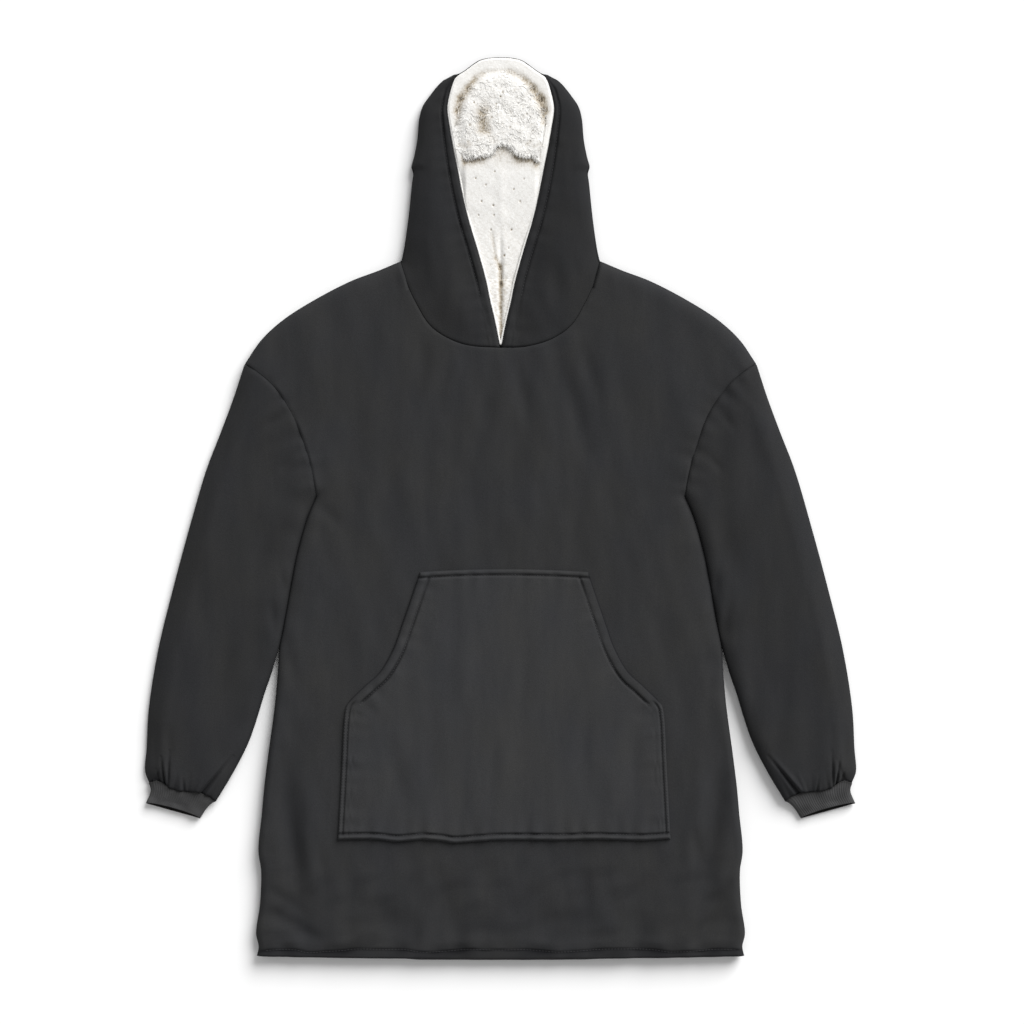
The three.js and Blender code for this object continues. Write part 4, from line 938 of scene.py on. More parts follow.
def pocket_surface(x, y):
    """The pocket's outer face, and the shade painted at each place."""
    side, bottom, top, place = pocket_edges(x, y)
    low = ease(y, POCKET_OPENING_Y + 0.004, POCKET_OPENING_Y - 0.004)
    edge = np.maximum(0, np.minimum(np.minimum(side, bottom), top))
    swap = np.where(x < 0, 1.9, 0)
    turned = dip(side - POCKET_BAND, 0.0019) * (1 - low) * ease(top, 0.0065, 0.0085)
    sewn = dip(side - POCKET_SEAM_INSET, 0.0015) * low * ease(bottom, 0.0060, 0.0080)
    across_top = dip(top - POCKET_TOP_BAND, 0.0018)
    across_bottom = dip(bottom - POCKET_LIP, 0.0021)
    lip = 0.0020 * dip(bottom - POCKET_LIP / 2, 0.004) * (1 + 0.3 * wander(x, 0 * y, 0.07, 1, 91))
    cord = 0.0010 * dip(side - POCKET_BAND / 2, 0.005) * (1 - low)
    drawn = 0.0012 * puckers(np.abs(side - POCKET_BAND), place + swap, 0.012, 0.026, 92)
    drawn += 0.0014 * puckers(np.abs(bottom - POCKET_LIP), x, 0.016, 0.028, 93)
    drawn += 0.0010 * puckers(np.abs(top - POCKET_TOP_BAND), x, 0.012, 0.026, 94)
    soft = 0.0005 * wander(x, y, 0.050, 0.160, 95)
    folds = creases(POCKET_CREASES, x, y)
    left = ease(-x, -0.02, 0.02)
    foot = ease(-y, 0.185, 0.225)
    relief = (0.0012 + 0.0008 * left + 0.0014 * foot) * turned + 0.0020 * sewn
    relief += 0.0024 * across_top + 0.0028 * across_bottom + folds
    swell = POCKET_CLOTH + lip + cord + drawn + soft - relief
    height = TOP_Z + SEAM_GAP + 0.0008 + np.maximum(swell - 0.0008, 0.0006) * rounded(edge, 0.0035)
    # Painted shade in the stitched grooves, creases and puckers and along the edge, and a painted
    # shadow line along the openings' edge, the band darkening towards it.
    gathered = 0.75 + 0.35 * wander(x, y, 0.06, 0.06, 96)
    painted_shade_and_tone = (0.10 + 0.26 * left + 0.40 * foot) * turned
    painted_shade_and_tone += gathered * (0.24 * sewn + 0.38 * across_top + 0.56 * across_bottom)
    painted_shade_and_tone += 36 * np.maximum(folds, 0) + 70 * np.maximum(-drawn - 0.0005, 0)
    painted_shade_and_tone += (0.50 - 0.30 * low) * dip(edge, 0.0009)
    opening = (1 - low) * ease(top, 0, 0.006)
    painted_shade_and_tone += opening * (0.30 * ease(0.010 - side, 0, 0.010) + (0.7 - 0.4 * left) * dip(side, 0.0015))
    return height, painted_shade_and_tone


pocket_half = spread([0, 0.86, 0.95, 1], [60, 16, 18])
pocket_shares = np.concatenate([-pocket_half[:0:-1], pocket_half])
pocket_rows = spread([0, 0.035, 0.45, 0.95, 1], [16, 60, 80, 18])
pocket_right = at_shares(pocket_side_line, pocket_rows)
pocket_bottom = np.column_stack([
    pocket_shares * POCKET_SIDE[0][0],
    pocket_bottom_line(pocket_shares * POCKET_SIDE[0][0]),
])
pocket_right[0] = pocket_bottom[-1]
pocket_left = pocket_right * (-1, 1)
pocket_left[0] = pocket_bottom[0]
pocket_top = np.column_stack([
    pocket_shares * POCKET_TOP_HALF,
    POCKET_TOP_Y + POCKET_TOP_BOW * (1 - pocket_shares ** 2),
])
pocket_along = (pocket_right[:, 1] - POCKET_BOTTOM_Y) / (POCKET_TOP_Y - POCKET_BOTTOM_Y)
pocket_plan = fill_between(
    pocket_left, pocket_right, pocket_bottom, pocket_top, (pocket_shares + 1) / 2, pocket_along
)
pocket_grid, pocket_painted_shade = raise_grid(pocket_plan, pocket_surface)
pocket_grid = pocket_grid + (POCKET_X, 0, 0)
pocket = panel_on_plane("pocket_cloth", pocket_grid, TOP_Z + SEAM_GAP, pocket_fleece, pocket_painted_shade)
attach(pocket, "root")
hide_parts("pocket")


# Hood. Two side panels of fleece, sewn together down the middle of the back. Each runs out
# along the surface, folds at the outline and comes back over the top to the face opening,
# where its edge is turned into a stitched casing.
HOOD_SIDE = [
    (0.1364, 0.3383), (0.133, 0.353), (0.127, 0.394), (0.1215, 0.446), (0.120, 0.459),
    (0.1223, 0.468), (0.119, 0.481), (0.1145, 0.504), (0.1115, 0.535), (0.107, 0.551),
    (0.097, 0.566), (0.084, 0.582), (0.073, 0.591), (0.064, 0.5945),
]
HOOD_CROWN = [
    (0.064, 0.5945), (0.057, 0.5955), (0.050, 0.5995), (0.040, 0.607), (0.029, 0.614),
    (0.014, 0.6173), (0.000, 0.618),
]
OPENING_SIDE = [
    (0.0005, 0.220), (0.008, 0.257), (0.0144, 0.284), (0.020, 0.311), (0.0314, 0.3527),
    (0.0437, 0.3937), (0.0533, 0.4347), (0.0608, 0.4757), (0.0684, 0.5167), (0.0725, 0.546),
    (0.0704, 0.561), (0.0645, 0.582), (0.061, 0.589),
]
OPENING_CROWN = [
    (0.061, 0.589), (0.0554, 0.593), (0.0483, 0.5976), (0.0386, 0.6048), (0.028, 0.6115),
    (0.0136, 0.6148), (0.000, 0.6154),
]
CASING = 0.016
SHELL = 0.002
HOOD_BACK_TOP_Y = 0.540
HOOD_FOLD_Z = 0.0055
HOOD_UNDER_Z = 0.0113
HOOD_EDGE_Z = 0.021
HOOD_CREST_Z = 0.027
HOOD_FOLD_REACH = 0.034
HOOD_CREASES = [
    (0.098, 0.560, 0.104, 0.400, 0.012, 0.0020),
    (0.066, 0.350, 0.090, 0.262, 0.012, 0.0024),
    (0.048, 0.300, 0.066, 0.240, 0.008, 0.0020),
    (0.121, 0.466, 0.104, 0.461, 0.004, 0.0016),
    (0.120, 0.330, 0.098, 0.430, 0.015, 0.0020),
    (0.112, 0.300, 0.100, 0.350, 0.008, 0.0016),
    (0.026, 0.300, 0.018, 0.236, 0.006, 0.0018),
]

# The hood's fleece is darker than the body's, as painted shade for how the light falls on it.
hood_fleece = fleece("hood_fleece", 0.0226)
hood_side_line = smooth_line(HOOD_SIDE)
hood_crown_line = smooth_line(HOOD_CROWN)
opening_side_line = smooth_line(OPENING_SIDE)
opening_crown_line = smooth_line(OPENING_CROWN)
hood_outline = np.vstack([hood_side_line[::3], hood_crown_line[::6], HOOD_CROWN[-1]])
opening_line = np.vstack([opening_side_line[::3], opening_crown_line[::6], OPENING_CROWN[-1]])
hood_side_rows = spread([0, 0.06, 0.94], [10, 84])
hood_crown_rows = spread([0, 1], [30])
hood_back_columns = spread([0, 0.9, 0.985, 0.998], [14, 8, 4])


def hood_rows(side, crown):
    """The hood's rows on one edge: up its side, then round the crown."""
    return np.vstack([at_shares(side, hood_side_rows), at_shares(crown, hood_crown_rows)])


def rows_between(start, end, shares, seam):
    """Rows from one edge to another. The first follows the seam, and the rest straighten out."""
    last = len(start) - 1
    rows = []
    for i, row_shares in enumerate(shares):
        bend = at_shares(seam, row_shares) - (start[0] + row_shares[:, None] * (end[0] - start[0]))
        rows.append(start[i] + row_shares[:, None] * (end[i] - start[i]) + bend * (1 - i / last) ** 2)
    return np.array(rows)


def hood_back_z(x, y):
    """The hood's back lies on the surface, and turns up at its outline."""
    return HOOD_FOLD_Z * (1 - rounded(nearest(hood_outline, x, y)[0], 0.014))


def casing_depth(y):
    """The casing is a little wider low down than at the crown."""
    return CASING * (0.42 + 0.36 * ease(y, 0.58, 0.46))


def hood_surface(x, y, width, seed):
    """The hood's outer face over the lining, and the shade painted at each place."""
    outline, outline_place = nearest(hood_outline, x, y)
    opening, opening_place = nearest(opening_line, x, y)
    neck, neck_place = nearest(front_neck_line, x, y)
    casing = casing_depth(y)
    crest = (HOOD_CREST_Z - HOOD_EDGE_Z) * ease(opening, casing, 0.050)
    folds = creases(HOOD_CREASES, x, y)
    free = HOOD_EDGE_Z + crest - folds + 0.0009 * wander(x, y, 0.04, 0.12, seed)
    near_neck = TOP_Z + (free - TOP_Z) * ease(neck, 0, 0.050)
    fading = ease(y, 0.270, 0.320)
    sewn = 0.0026 * fading * dip(opening - casing, 0.0020) + 0.0010 * dip(neck, 0.0026)
    drawn = 0.0014 * puckers(np.abs(opening - casing), opening_place, 0.010, 0.026, seed + 1)
    drawn += 0.0007 * puckers(neck, neck_place, 0.018, 0.030, seed + 2)
    drawn += 0.0012 * puckers(outline, outline_place, 0.012, 0.040, seed + 3)
    reach = np.minimum(HOOD_FOLD_REACH, 1.6 * width)
    full = HOOD_FOLD_Z + (near_neck + drawn - sewn - HOOD_FOLD_Z) * rounded(outline, reach)
    edge = HOOD_UNDER_Z + 0.0012
    height = np.maximum(np.minimum(edge, full), edge + (full - edge) * rounded(opening, 0.006))
    # Painted shade in the casing's groove and the neck seam, in creases and puckers, along the outline
    # and the opening, and more of it over the hood above the neck.
    painted_shade_and_tone = 0.55 * fading * dip(opening - casing, 0.0015) + 0.08 * dip(neck, 0.0014)
    painted_shade_and_tone += 24 * np.maximum(folds, 0) + 60 * np.maximum(-drawn - 0.0006, 0)
    painted_shade_and_tone += 0.6 * dip(outline, 0.0018) + 0.5 * dip(opening, 0.0010)
    return height, painted_shade_and_tone + 0.12 * ease(y, 0.280, 0.350)


def seam_points(neck_line):
    """The body's neck edge from the shoulder to the middle, as the hood meets it."""
    edge = beside(neck_line, SEAM_CLEAR)
    edge[0, 1] += 2 * SEAM_GAP
    return edge


def shell_faces(rows, columns):
    """The faces of two like grids of points, one inside the other, and of the rim between them."""
    total = rows * columns
    ring = ring_of(rows, columns)
    after = np.roll(ring, -1)
    return np.vstack([
        grid_faces(rows, columns, flip=True),
        grid_faces(rows, columns, first=total),
        np.column_stack([ring, after, after + total, ring + total]),
    ])


def hood_panel(side, mirrored, seed):
    """One side of the hood: from the middle of the back out to the fold, and over to the opening."""
    front_seam = seam_points(front_neck_line)
    back_seam = seam_points(back_neck_line)[::-1]
    outline = hood_rows(hood_side_line, hood_crown_line)
    opening = hood_rows(opening_side_line, opening_crown_line)
    outline[0] = front_seam[0]
    opening[0] = front_seam[-1]
    count = len(outline)
    middle = np.column_stack([np.zeros(count), np.linspace(back_seam[0, 1], HOOD_BACK_TOP_Y, count)])
    widths = np.hypot(*(outline - opening).T)
    walls = np.minimum(np.minimum(0.003, 0.42 * widths), 0.0010 + 0.0003 * np.arange(count))
    casing = np.minimum(0.5, 1.5 * CASING / widths)
    over = [spread([0, 0.10, 1 - c, 1 - 0.3 * c, 1], [9, 22, 16, 12]) for c in casing]
    over_inner = [w / width + s * (1 - w / width) for s, w, width in zip(over, walls, widths)]
    spans = np.hypot(*(outline - middle).T)
    back = [hood_back_columns] * count
    back_inner = [hood_back_columns * (1 - w / span) for w, span in zip(walls, spans)]
    outer_back = rows_between(middle, outline, back, back_seam)
    outer_over = rows_between(outline, opening, over, front_seam)
    inner_back = rows_between(middle, outline, back_inner, back_seam)
    inner_over = rows_between(outline, opening, over_inner, front_seam)
    back_z = hood_back_z(outer_back[..., 0], outer_back[..., 1])
    over_z, over_painted_shade = hood_surface(outer_over[..., 0], outer_over[..., 1], widths[:, None], seed)
    lining_side_z = hood_back_z(inner_back[..., 0], inner_back[..., 1]) + SHELL
    under_z = np.full(inner_over.shape[:2], HOOD_UNDER_Z)
    outer = np.hstack([np.dstack([outer_back, back_z]), np.dstack([outer_over, over_z])])
    inner = np.hstack([np.dstack([inner_back, lining_side_z]), np.dstack([inner_over, under_z])])
    outer[..., 0] = np.maximum(outer[..., 0], SEAM_GAP / 2)
    inner[..., 0] = np.maximum(inner[..., 0], SEAM_GAP / 2)
    faces = shell_faces(*outer.shape[:2])
    points = np.vstack([outer.reshape(-1, 3), inner.reshape(-1, 3)])
    # The hood's back face gets no painted shade, and its inner face an even painted shade.
    outer_shades = np.hstack([0 * back_z, over_painted_shade]).ravel()
    shades = np.concatenate([outer_shades, np.full(len(outer_shades), 0.5)])
    if mirrored:
        points = points * (-1, 1, 1)
        faces = faces[:, ::-1]
    return make_piece(f"hood_{side}_cloth", points, faces, hood_fleece, shades)


for side, mirrored, seed in (("left", False, 101), ("right", True, 111)):
    hood = hood_panel(side, mirrored, seed)
    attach(hood, "root")
    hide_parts(f"hood_{side}")


# Lining of the hood. Cream sherpa pile on a knitted backing, sewn in along the face opening and
# the neck. Behind the head it is bunched up in a soft mass with a fold hanging over its lower
# edge. A smooth rim runs round it at the crown, and its centre seam sinks in low down.
LINING_UNDER_Z = 0.0025
LINING_UNDER_TOP_Z = 0.0104
LINING_HIDDEN_Z = 0.0109
LINING_FLOOR_Z = 0.0135
LINING_RIM_Z = 0.0205
LINING_BUNCH_Z = 0.0235
LINING_FOOT_Y = 0.3068
LINING_MIDDLE_TOP_Y = 0.540
LINING_CROWN_Y = 0.610
# Where its edge starts beside the opening, how far up that runs, and the same for its outline.
LINING_EDGE_FOOT_Y = 0.3088
LINING_EDGE_RISE = 0.279
LINING_OUTLINE_FOOT_Y = 0.341
LINING_OUTLINE_RISE = 0.249
LINING_EDGE_INSET = 0.0010
LINING_OUTLINE_INSET = 0.0050
LINING_CROWN_INSET = 0.0030
LINING_CROWN_START = 0.04
BUNCH = [
    (-0.050, 0.477), (-0.0325, 0.480), (-0.021, 0.481), (-0.012, 0.484), (-0.0065, 0.492),
    (0.0005, 0.496), (0.0085, 0.4955), (0.015, 0.492), (0.020, 0.485), (0.029, 0.481),
    (0.0375, 0.480), (0.047, 0.4785), (0.051, 0.474), (0.0555, 0.489), (0.0595, 0.510),
    (0.062, 0.530), (0.061, 0.551), (0.056, 0.562), (0.047, 0.574), (0.0375, 0.583),
    (0.028, 0.592), (0.016, 0.5975), (0.000, 0.599), (-0.0145, 0.5975), (-0.0295, 0.592),
    (-0.0375, 0.583), (-0.0475, 0.575), (-0.0555, 0.5645), (-0.060, 0.551), (-0.0615, 0.530),
    (-0.0595, 0.506), (-0.055, 0.4895), (-0.050, 0.477),
]
BUNCH_SAMPLES = 5
FOLD_END = 76
# Hollows of the pile, sunk a little and darkened with painted shade: a line from one point to another,
# its half width and how dark its painted shade is.
PILE_HOLLOWS_AND_PAINTED_SHADE = [
    (-0.0590, 0.544, -0.0555, 0.558, 0.0058, 0.68),
    (-0.0525, 0.563, -0.0450, 0.572, 0.0058, 0.60),
    (-0.0440, 0.577, -0.0360, 0.584, 0.0044, 0.60),
    (-0.0330, 0.589, -0.0240, 0.594, 0.0045, 0.34),
    (-0.0180, 0.597, 0.0100, 0.598, 0.0030, 0.17),
    (0.0130, 0.596, 0.0260, 0.591, 0.0050, 0.36),
    (0.0330, 0.586, 0.0440, 0.576, 0.0048, 0.58),
    (0.0450, 0.572, 0.0545, 0.560, 0.0062, 0.74),
    (0.0560, 0.558, 0.0598, 0.544, 0.0062, 0.80),
    (0.0600, 0.543, 0.0590, 0.526, 0.0040, 0.50),
    (-0.0590, 0.542, -0.0590, 0.526, 0.0038, 0.36),
    (-0.0250, 0.541, -0.0235, 0.519, 0.0080, 0.74),
    (-0.0190, 0.515, -0.0080, 0.500, 0.0045, 0.20),
    (-0.0210, 0.556, -0.0150, 0.547, 0.0040, 0.14),
    (-0.0560, 0.497, -0.0480, 0.494, 0.0028, 0.30),
    (-0.0440, 0.500, -0.0410, 0.496, 0.0026, 0.30),
    (0.0370, 0.497, 0.0410, 0.501, 0.0026, 0.32),
    (0.0450, 0.494, 0.0550, 0.497, 0.0024, 0.22),
    (-0.0115, 0.376, -0.0065, 0.342, 0.0024, 0.26),
    (-0.0060, 0.342, -0.0010, 0.330, 0.0030, 0.40),
    (-0.0008, 0.332, 0.0008, 0.306, 0.0030, 0.62),
    (0.0004, 0.308, 0.0002, 0.276, 0.0026, 0.54),
    (0.0002, 0.274, 0.0008, 0.232, 0.0023, 0.50),
    (0.0075, 0.318, 0.0045, 0.280, 0.0016, 0.16),
    (-0.0140, 0.3330, -0.0070, 0.3345, 0.0010, 0.16),
    (0.0040, 0.3340, 0.0120, 0.3325, 0.0010, 0.16),
]
# Dark flecks where the backing shows through: place and half width.
PILE_FLECKS = [
    (-0.0260, 0.4197, 0.0011), (-0.0100, 0.4140, 0.0012), (0.0266, 0.4197, 0.0010),
    (-0.0133, 0.3810, 0.0010), (0.0150, 0.3810, 0.0011), (0.0050, 0.3460, 0.0013),
    (-0.0090, 0.4010, 0.0008), (-0.0300, 0.4010, 0.0008), (0.0110, 0.3560, 0.0007),
    (-0.0200, 0.4420, 0.0008), (0.0180, 0.4360, 0.0009), (0.0320, 0.4500, 0.0008),
    (-0.0340, 0.4510, 0.0009), (-0.0080, 0.4600, 0.0008), (0.0000, 0.5620, 0.0012),
    (0.0030, 0.5680, 0.0011), (-0.0060, 0.5520, 0.0009), (0.0250, 0.5540, 0.0010),
    (-0.0360, 0.5540, 0.0010), (-0.0120, 0.5340, 0.0011), (0.0130, 0.5200, 0.0009),
    (0.0360, 0.5380, 0.0009), (-0.0420, 0.5230, 0.0010), (0.0440, 0.5160, 0.0009),
]

bunch_line = smooth_line(BUNCH, BUNCH_SAMPLES)
fold_line = bunch_line[:FOLD_END + 1]
bunch_back_line = bunch_line[FOLD_END:]


def sherpa(name):
    """Cream sherpa: fine curly pile, a little uneven in tone, darkened to taupe by painted shade where
    its locks part and by flecks of its backing.
    """
    material, tree, shader = new_material(name)
    place = add_node(tree, "TexCoord", {}, "Object")
    curls = noise(tree, place, scale=330, detail=5, roughness=0.65, distortion=1.6)
    pale = tones(tree, curls, [
        (0.30, (0.745, 0.73, 0.70, 1)),
        (0.58, (0.865, 0.855, 0.833, 1)),
    ])
    # Painted shade: the shade that the mesh holds turns the pile taupe and then near black.
    deep = tones(tree, painted_shade_and_tone_attribute(tree), [
        (0.0, (1, 1, 1, 1)),
        (0.5, (0.49, 0.43, 0.345, 1)),
        (1.0, (0.085, 0.068, 0.050, 1)),
    ])
    feed(tree, shader, {
        "Base Color": blend(tree, "MULTIPLY", 1, pale, deep),
        "Roughness": 0.9,
        "Specular IOR Level": 0.1,
        "Sheen Weight": 0.1,
        "Sheen Tint": (1, 0.98, 0.95, 1),
        "Normal": fine_relief(tree, curls, strength=0.5, distance=0.0007),
    })
    return material


sherpa_pile = sherpa("cream_sherpa")


def inside(loop, x, y):
    """Where points lie within a closed line."""
    within = np.zeros(np.shape(x), bool)
    for a, b in zip(loop, np.roll(loop, -1, 0)):
        if a[1] == b[1]:
            continue
        crosses = (a[1] > y) != (b[1] > y)
        within ^= crosses & (x < a[0] + (y - a[1]) * (b[0] - a[0]) / (b[1] - a[1]))
    return within


def locks_relief(x, y, pitch, seed):
    """Rounded locks of pile, side by side and uneven: 1 at the top of a lock, 0 between them."""
    column = np.floor(x / pitch).astype(int)
    row = np.floor(y / pitch).astype(int)
    chance = np.random.default_rng(seed).uniform(0.05, 0.95, (256, 256, 2))
    near = np.full(x.shape, 9.0)
    next_near = np.full(x.shape, 9.0)
    for i in (-1, 0, 1):
        for j in (-1, 0, 1):
            spot = chance[(column + i) % 256, (row + j) % 256]
            away = np.hypot(column + i + spot[..., 0] - x / pitch, row + j + spot[..., 1] - y / pitch)
            next_near = np.minimum(next_near, np.maximum(near, away))
            near = np.minimum(near, away)
    return np.clip(next_near - near, 0, 1)


def pile_painted_shade_and_flecks(x, y):
    """The shade painted between the locks and under the fold, from the listed hollows, with the flecks
    of backing.
    """
    deep = np.zeros(np.shape(x))
    for x1, y1, x2, y2, width, painted_darkness in PILE_HOLLOWS_AND_PAINTED_SHADE:
        deep += painted_darkness * dip(from_short_line(x, y, x1, y1, x2, y2)[0], width)
    deep *= 0.62 + 0.62 * locks_relief(x, y, 0.0034, 126)
    for place_x, place_y, width in PILE_FLECKS:
        deep += 0.8 * dip(np.hypot(x - place_x, y - place_y), width)
    # Painted shadow under the bunch's hanging fold, streaky and darkest towards its sides.
    fold = nearest(fold_line, x, y)[0]
    below = ~inside(bunch_line, x, y) & (y < 0.497) & (y > 0.460)
    peak = dip(x - 0.004, 0.016)
    sides = ease(np.abs(x + 0.001), 0.012, 0.026) * ease(0.056 - np.abs(x), 0, 0.006)
    streaks = 0.55 + 0.80 * locks_relief(x, 0.45 * y, 0.0034, 127)
    painted_darkness = (0.92 * sides + 0.52 * peak) * streaks * dip(fold, 0.0088 + 0.006 * peak)
    return deep + np.where(below, painted_darkness, 0)


def lining_surface(x, y):
    """The lining's pile, and the shade and tone painted at each place."""
    opening = nearest(opening_line, np.abs(x), y)[0]
    bunch_edge = nearest(bunch_line, x, y)[0]
    within = inside(bunch_line, x, y)
    fold = nearest(fold_line, x, y)[0]
    rim = LINING_RIM_Z - LINING_FLOOR_Z
    plump = (LINING_BUNCH_Z - LINING_RIM_Z) * ease(nearest(bunch_back_line, x, y)[0], 0, 0.016)
    bunch = (rim + plump) * rounded(fold, 0.0035)
    beside_fold = np.maximum(ease(np.abs(x), 0.046, 0.056), ease(y, 0.499, 0.506))
    slope = ease(y, 0.350, 0.486)
    sides = rim * ease(y, 0.430, 0.490)
    rise = np.where(within, bunch, sides * beside_fold + 0.0070 * slope * (1 - beside_fold))
    seam = 0.0026 * (1 - ease(y, 0.330, 0.400)) * dip(x, 0.0035)
    ridge = 0.0006 * dip(x - 0.001, 0.006) * ease(y, 0.345, 0.370) * ease(0.470 - y, 0, 0.02)
    coarse = locks_relief(x, y, 0.0046, 121)
    fine = locks_relief(x + 0.0003 * np.sin(y * 900), y, 0.0023, 122)
    fluffy = np.where(within, 0.55 + 0.45 * ease(bunch_edge, 0, 0.012), 0.22)
    fluffy = np.maximum(fluffy, 0.55 * ease(y, 0.500, 0.530) * ease(0.014 - bunch_edge, 0, 0.014))
    painted_shade_and_tone = pile_painted_shade_and_flecks(x, y)
    grain = fluffy * (0.0005 * coarse + 0.0002 * fine) - 0.0022 * np.clip(painted_shade_and_tone, 0, 1)
    soft = 0.0006 * wander(x, y, 0.030, 0.030, 123) * np.where(within, 1, 0.4)
    foot = 0.0010 * ease(0.326 - y, 0, 0.016)
    free = LINING_FLOOR_Z + rise - seam - foot + ridge + grain + soft
    height = LINING_HIDDEN_Z + (free - LINING_HIDDEN_Z) * rounded(opening, 0.0025)
    # Painted shade between the locks, deeper in the hollows and with sparse dark specks; the mottle is
    # an uneven tone, a little darker low down.
    parting = 0.6 * np.exp(-((coarse / 0.18) ** 2)) + 0.4 * np.exp(-((fine / 0.16) ** 2))
    cloudy = np.clip(2.2 * wander(x, y, 0.012, 0.012, 124) - 0.5, 0, 1)
    painted_shade_and_tone = painted_shade_and_tone * (0.62 + 0.75 * parting) + parting * fluffy * (0.03 + 0.18 * cloudy)
    mottled = np.clip(0.35 + wander(x, y, 0.006, 0.006, 125), 0, 1)
    return height, painted_shade_and_tone + mottled * (0.05 + 0.05 * ease(0.440 - y, 0, 0.080))


lining_side_rows = spread([0, 1], [190])
lining_crown_rows = spread([0, 1], [56])[1:]
crown_shares = LINING_CROWN_START + (1 - LINING_CROWN_START) * lining_crown_rows
lining_edge_y = LINING_EDGE_FOOT_Y + LINING_EDGE_RISE * lining_side_rows
lining_edge = beside(
    np.vstack([
        at_value(opening_side_line, 1, lining_edge_y),
        at_shares(opening_crown_line, crown_shares),
    ]),
    -LINING_EDGE_INSET,
)
lining_side_y = LINING_OUTLINE_FOOT_Y + LINING_OUTLINE_RISE * lining_side_rows
lining_side = at_value(hood_side_line, 1, lining_side_y)
lining_crown = at_shares(hood_crown_line, crown_shares)
lining_outline = beside(np.vstack([lining_side, lining_crown]), -LINING_OUTLINE_INSET)
lining_outline[len(lining_side):] = beside(lining_crown, -LINING_CROWN_INSET)
lining_middle_y = np.concatenate([
    LINING_FOOT_Y + lining_side_rows * (LINING_MIDDLE_TOP_Y - LINING_FOOT_Y),
    LINING_MIDDLE_TOP_Y + lining_crown_rows * (LINING_CROWN_Y - LINING_MIDDLE_TOP_Y),
])
lining_shares = spread([0, 0.9, 1], [64, 14])
hidden_shares = spread([0, 1], [5])[1:]
shown_half = []
for middle_y, edge, outline in zip(lining_middle_y, lining_edge, lining_outline):
    middle = np.array([0, middle_y])
    shown = middle + lining_shares[:, None] * (edge - middle)
    under_hood = edge + hidden_shares[:, None] * (outline - edge)
    shown_half.append(np.vstack([shown, under_hood]))
lining_half = np.array(shown_half)
lining_plan = np.hstack([lining_half[:, :0:-1] * (-1, 1), lining_half])
lining_x, lining_y = lining_plan[..., 0], lining_plan[..., 1]
lining_z, lining_painted_shade_and_tone = lining_surface(lining_x, lining_y)
hidden_columns = len(hidden_shares)
lining_z[:, :hidden_columns] = LINING_HIDDEN_Z
lining_z[:, -hidden_columns:] = LINING_HIDDEN_Z
lining_lift = 1.4 * hood_back_z(np.abs(lining_x), lining_y)
lining_under_z = np.minimum(LINING_UNDER_Z + lining_lift, LINING_UNDER_TOP_Z)
lining_top = np.dstack([lining_plan, lining_z]).reshape(-1, 3)
lining_under = np.dstack([lining_plan, lining_under_z]).reshape(-1, 3)
lining = make_piece(
    "hood_lining_sherpa",
    np.vstack([lining_top, lining_under]),
    shell_faces(*lining_plan.shape[:2])[:, ::-1],
    sherpa_pile,
    np.concatenate([lining_painted_shade_and_tone.ravel(), lining_painted_shade_and_tone.ravel()]),
)
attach(lining, "root")
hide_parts("hood_lining")


# Locks of the pile. Each is a short curl of fibres that tapers to its tip. They stand on the
# bunched part of the lining and hang down over its fold.
LOCKS = 1500
FRINGE = 420
LOCK_RINGS = 4
LOCK_SIDES = 4
# The box round the bunched part, in which the locks' roots are strewn.
LOCKS_HALF = 0.066
LOCKS_FOOT_Y = 0.468
LOCKS_HEAD_Y = 0.603
LOCK_TIP = 0.00004
LOCK_SUNK = 0.0003


def round_rods(name, centres, runs, girths, material, shades=None):
    """Thin round rods, each along its own row of centres: locks of pile, a roll or threads."""
    count, rings, sides = girths.shape
    angles = 2 * math.pi * np.arange(sides) / sides
    across = girths * np.cos(angles)
    points = np.stack([
        centres[..., :1] - across * runs[..., 1:],
        centres[..., 1:2] + across * runs[..., :1],
        centres[..., 2:] + girths * np.sin(angles),
    ], -1)
    block = rings * sides
    rim = np.arange(sides)
    walls = grid_faces(rings, sides, closed=True)
    faces = []
    for start in range(0, count * block, block):
        faces.extend(walls + start)
        faces.append(rim[::-1] + start)
        faces.append(rim + start + block - sides)
    return make_piece(name, points.reshape(-1, 3), faces, material, shades)


def pile_locks(name, roots, turn, root_painted_shade_and_tone, chance):
    """Curls that start at the roots and lie the way they are combed, each turning its own way."""
    count = len(roots)
    curl = chance.uniform(-1.0, 1.0, count)[:, None]
    length = chance.uniform(0.0040, 0.0085, count)[:, None]
    thick = chance.uniform(0.00035, 0.00065, count)[:, None]
    rise = chance.uniform(0.01, 0.09, count)[:, None]
    share = np.linspace(0, 1, LOCK_RINGS)
    heading = turn[:, None] + curl * share
    runs = np.stack([np.cos(heading), np.sin(heading)], -1)
    plan = roots[:, None, :2] + (length * share)[..., None] * runs
    lift = length * rise * np.sin(0.75 * math.pi * share) - LOCK_SUNK
    centres = np.dstack([plan, roots[:, 2:] + lift])
    girths = np.repeat((thick * (1 - share) ** 0.6 + LOCK_TIP)[..., None], LOCK_SIDES, -1)
    # Painted shade on each lock, from the pile's at its root, fading towards its tip.
    shades = np.repeat(0.7 * root_painted_shade_and_tone[:, None] * (1 - 0.6 * share), LOCK_SIDES, -1)
    return round_rods(name, centres, runs, girths, sherpa_pile, shades)


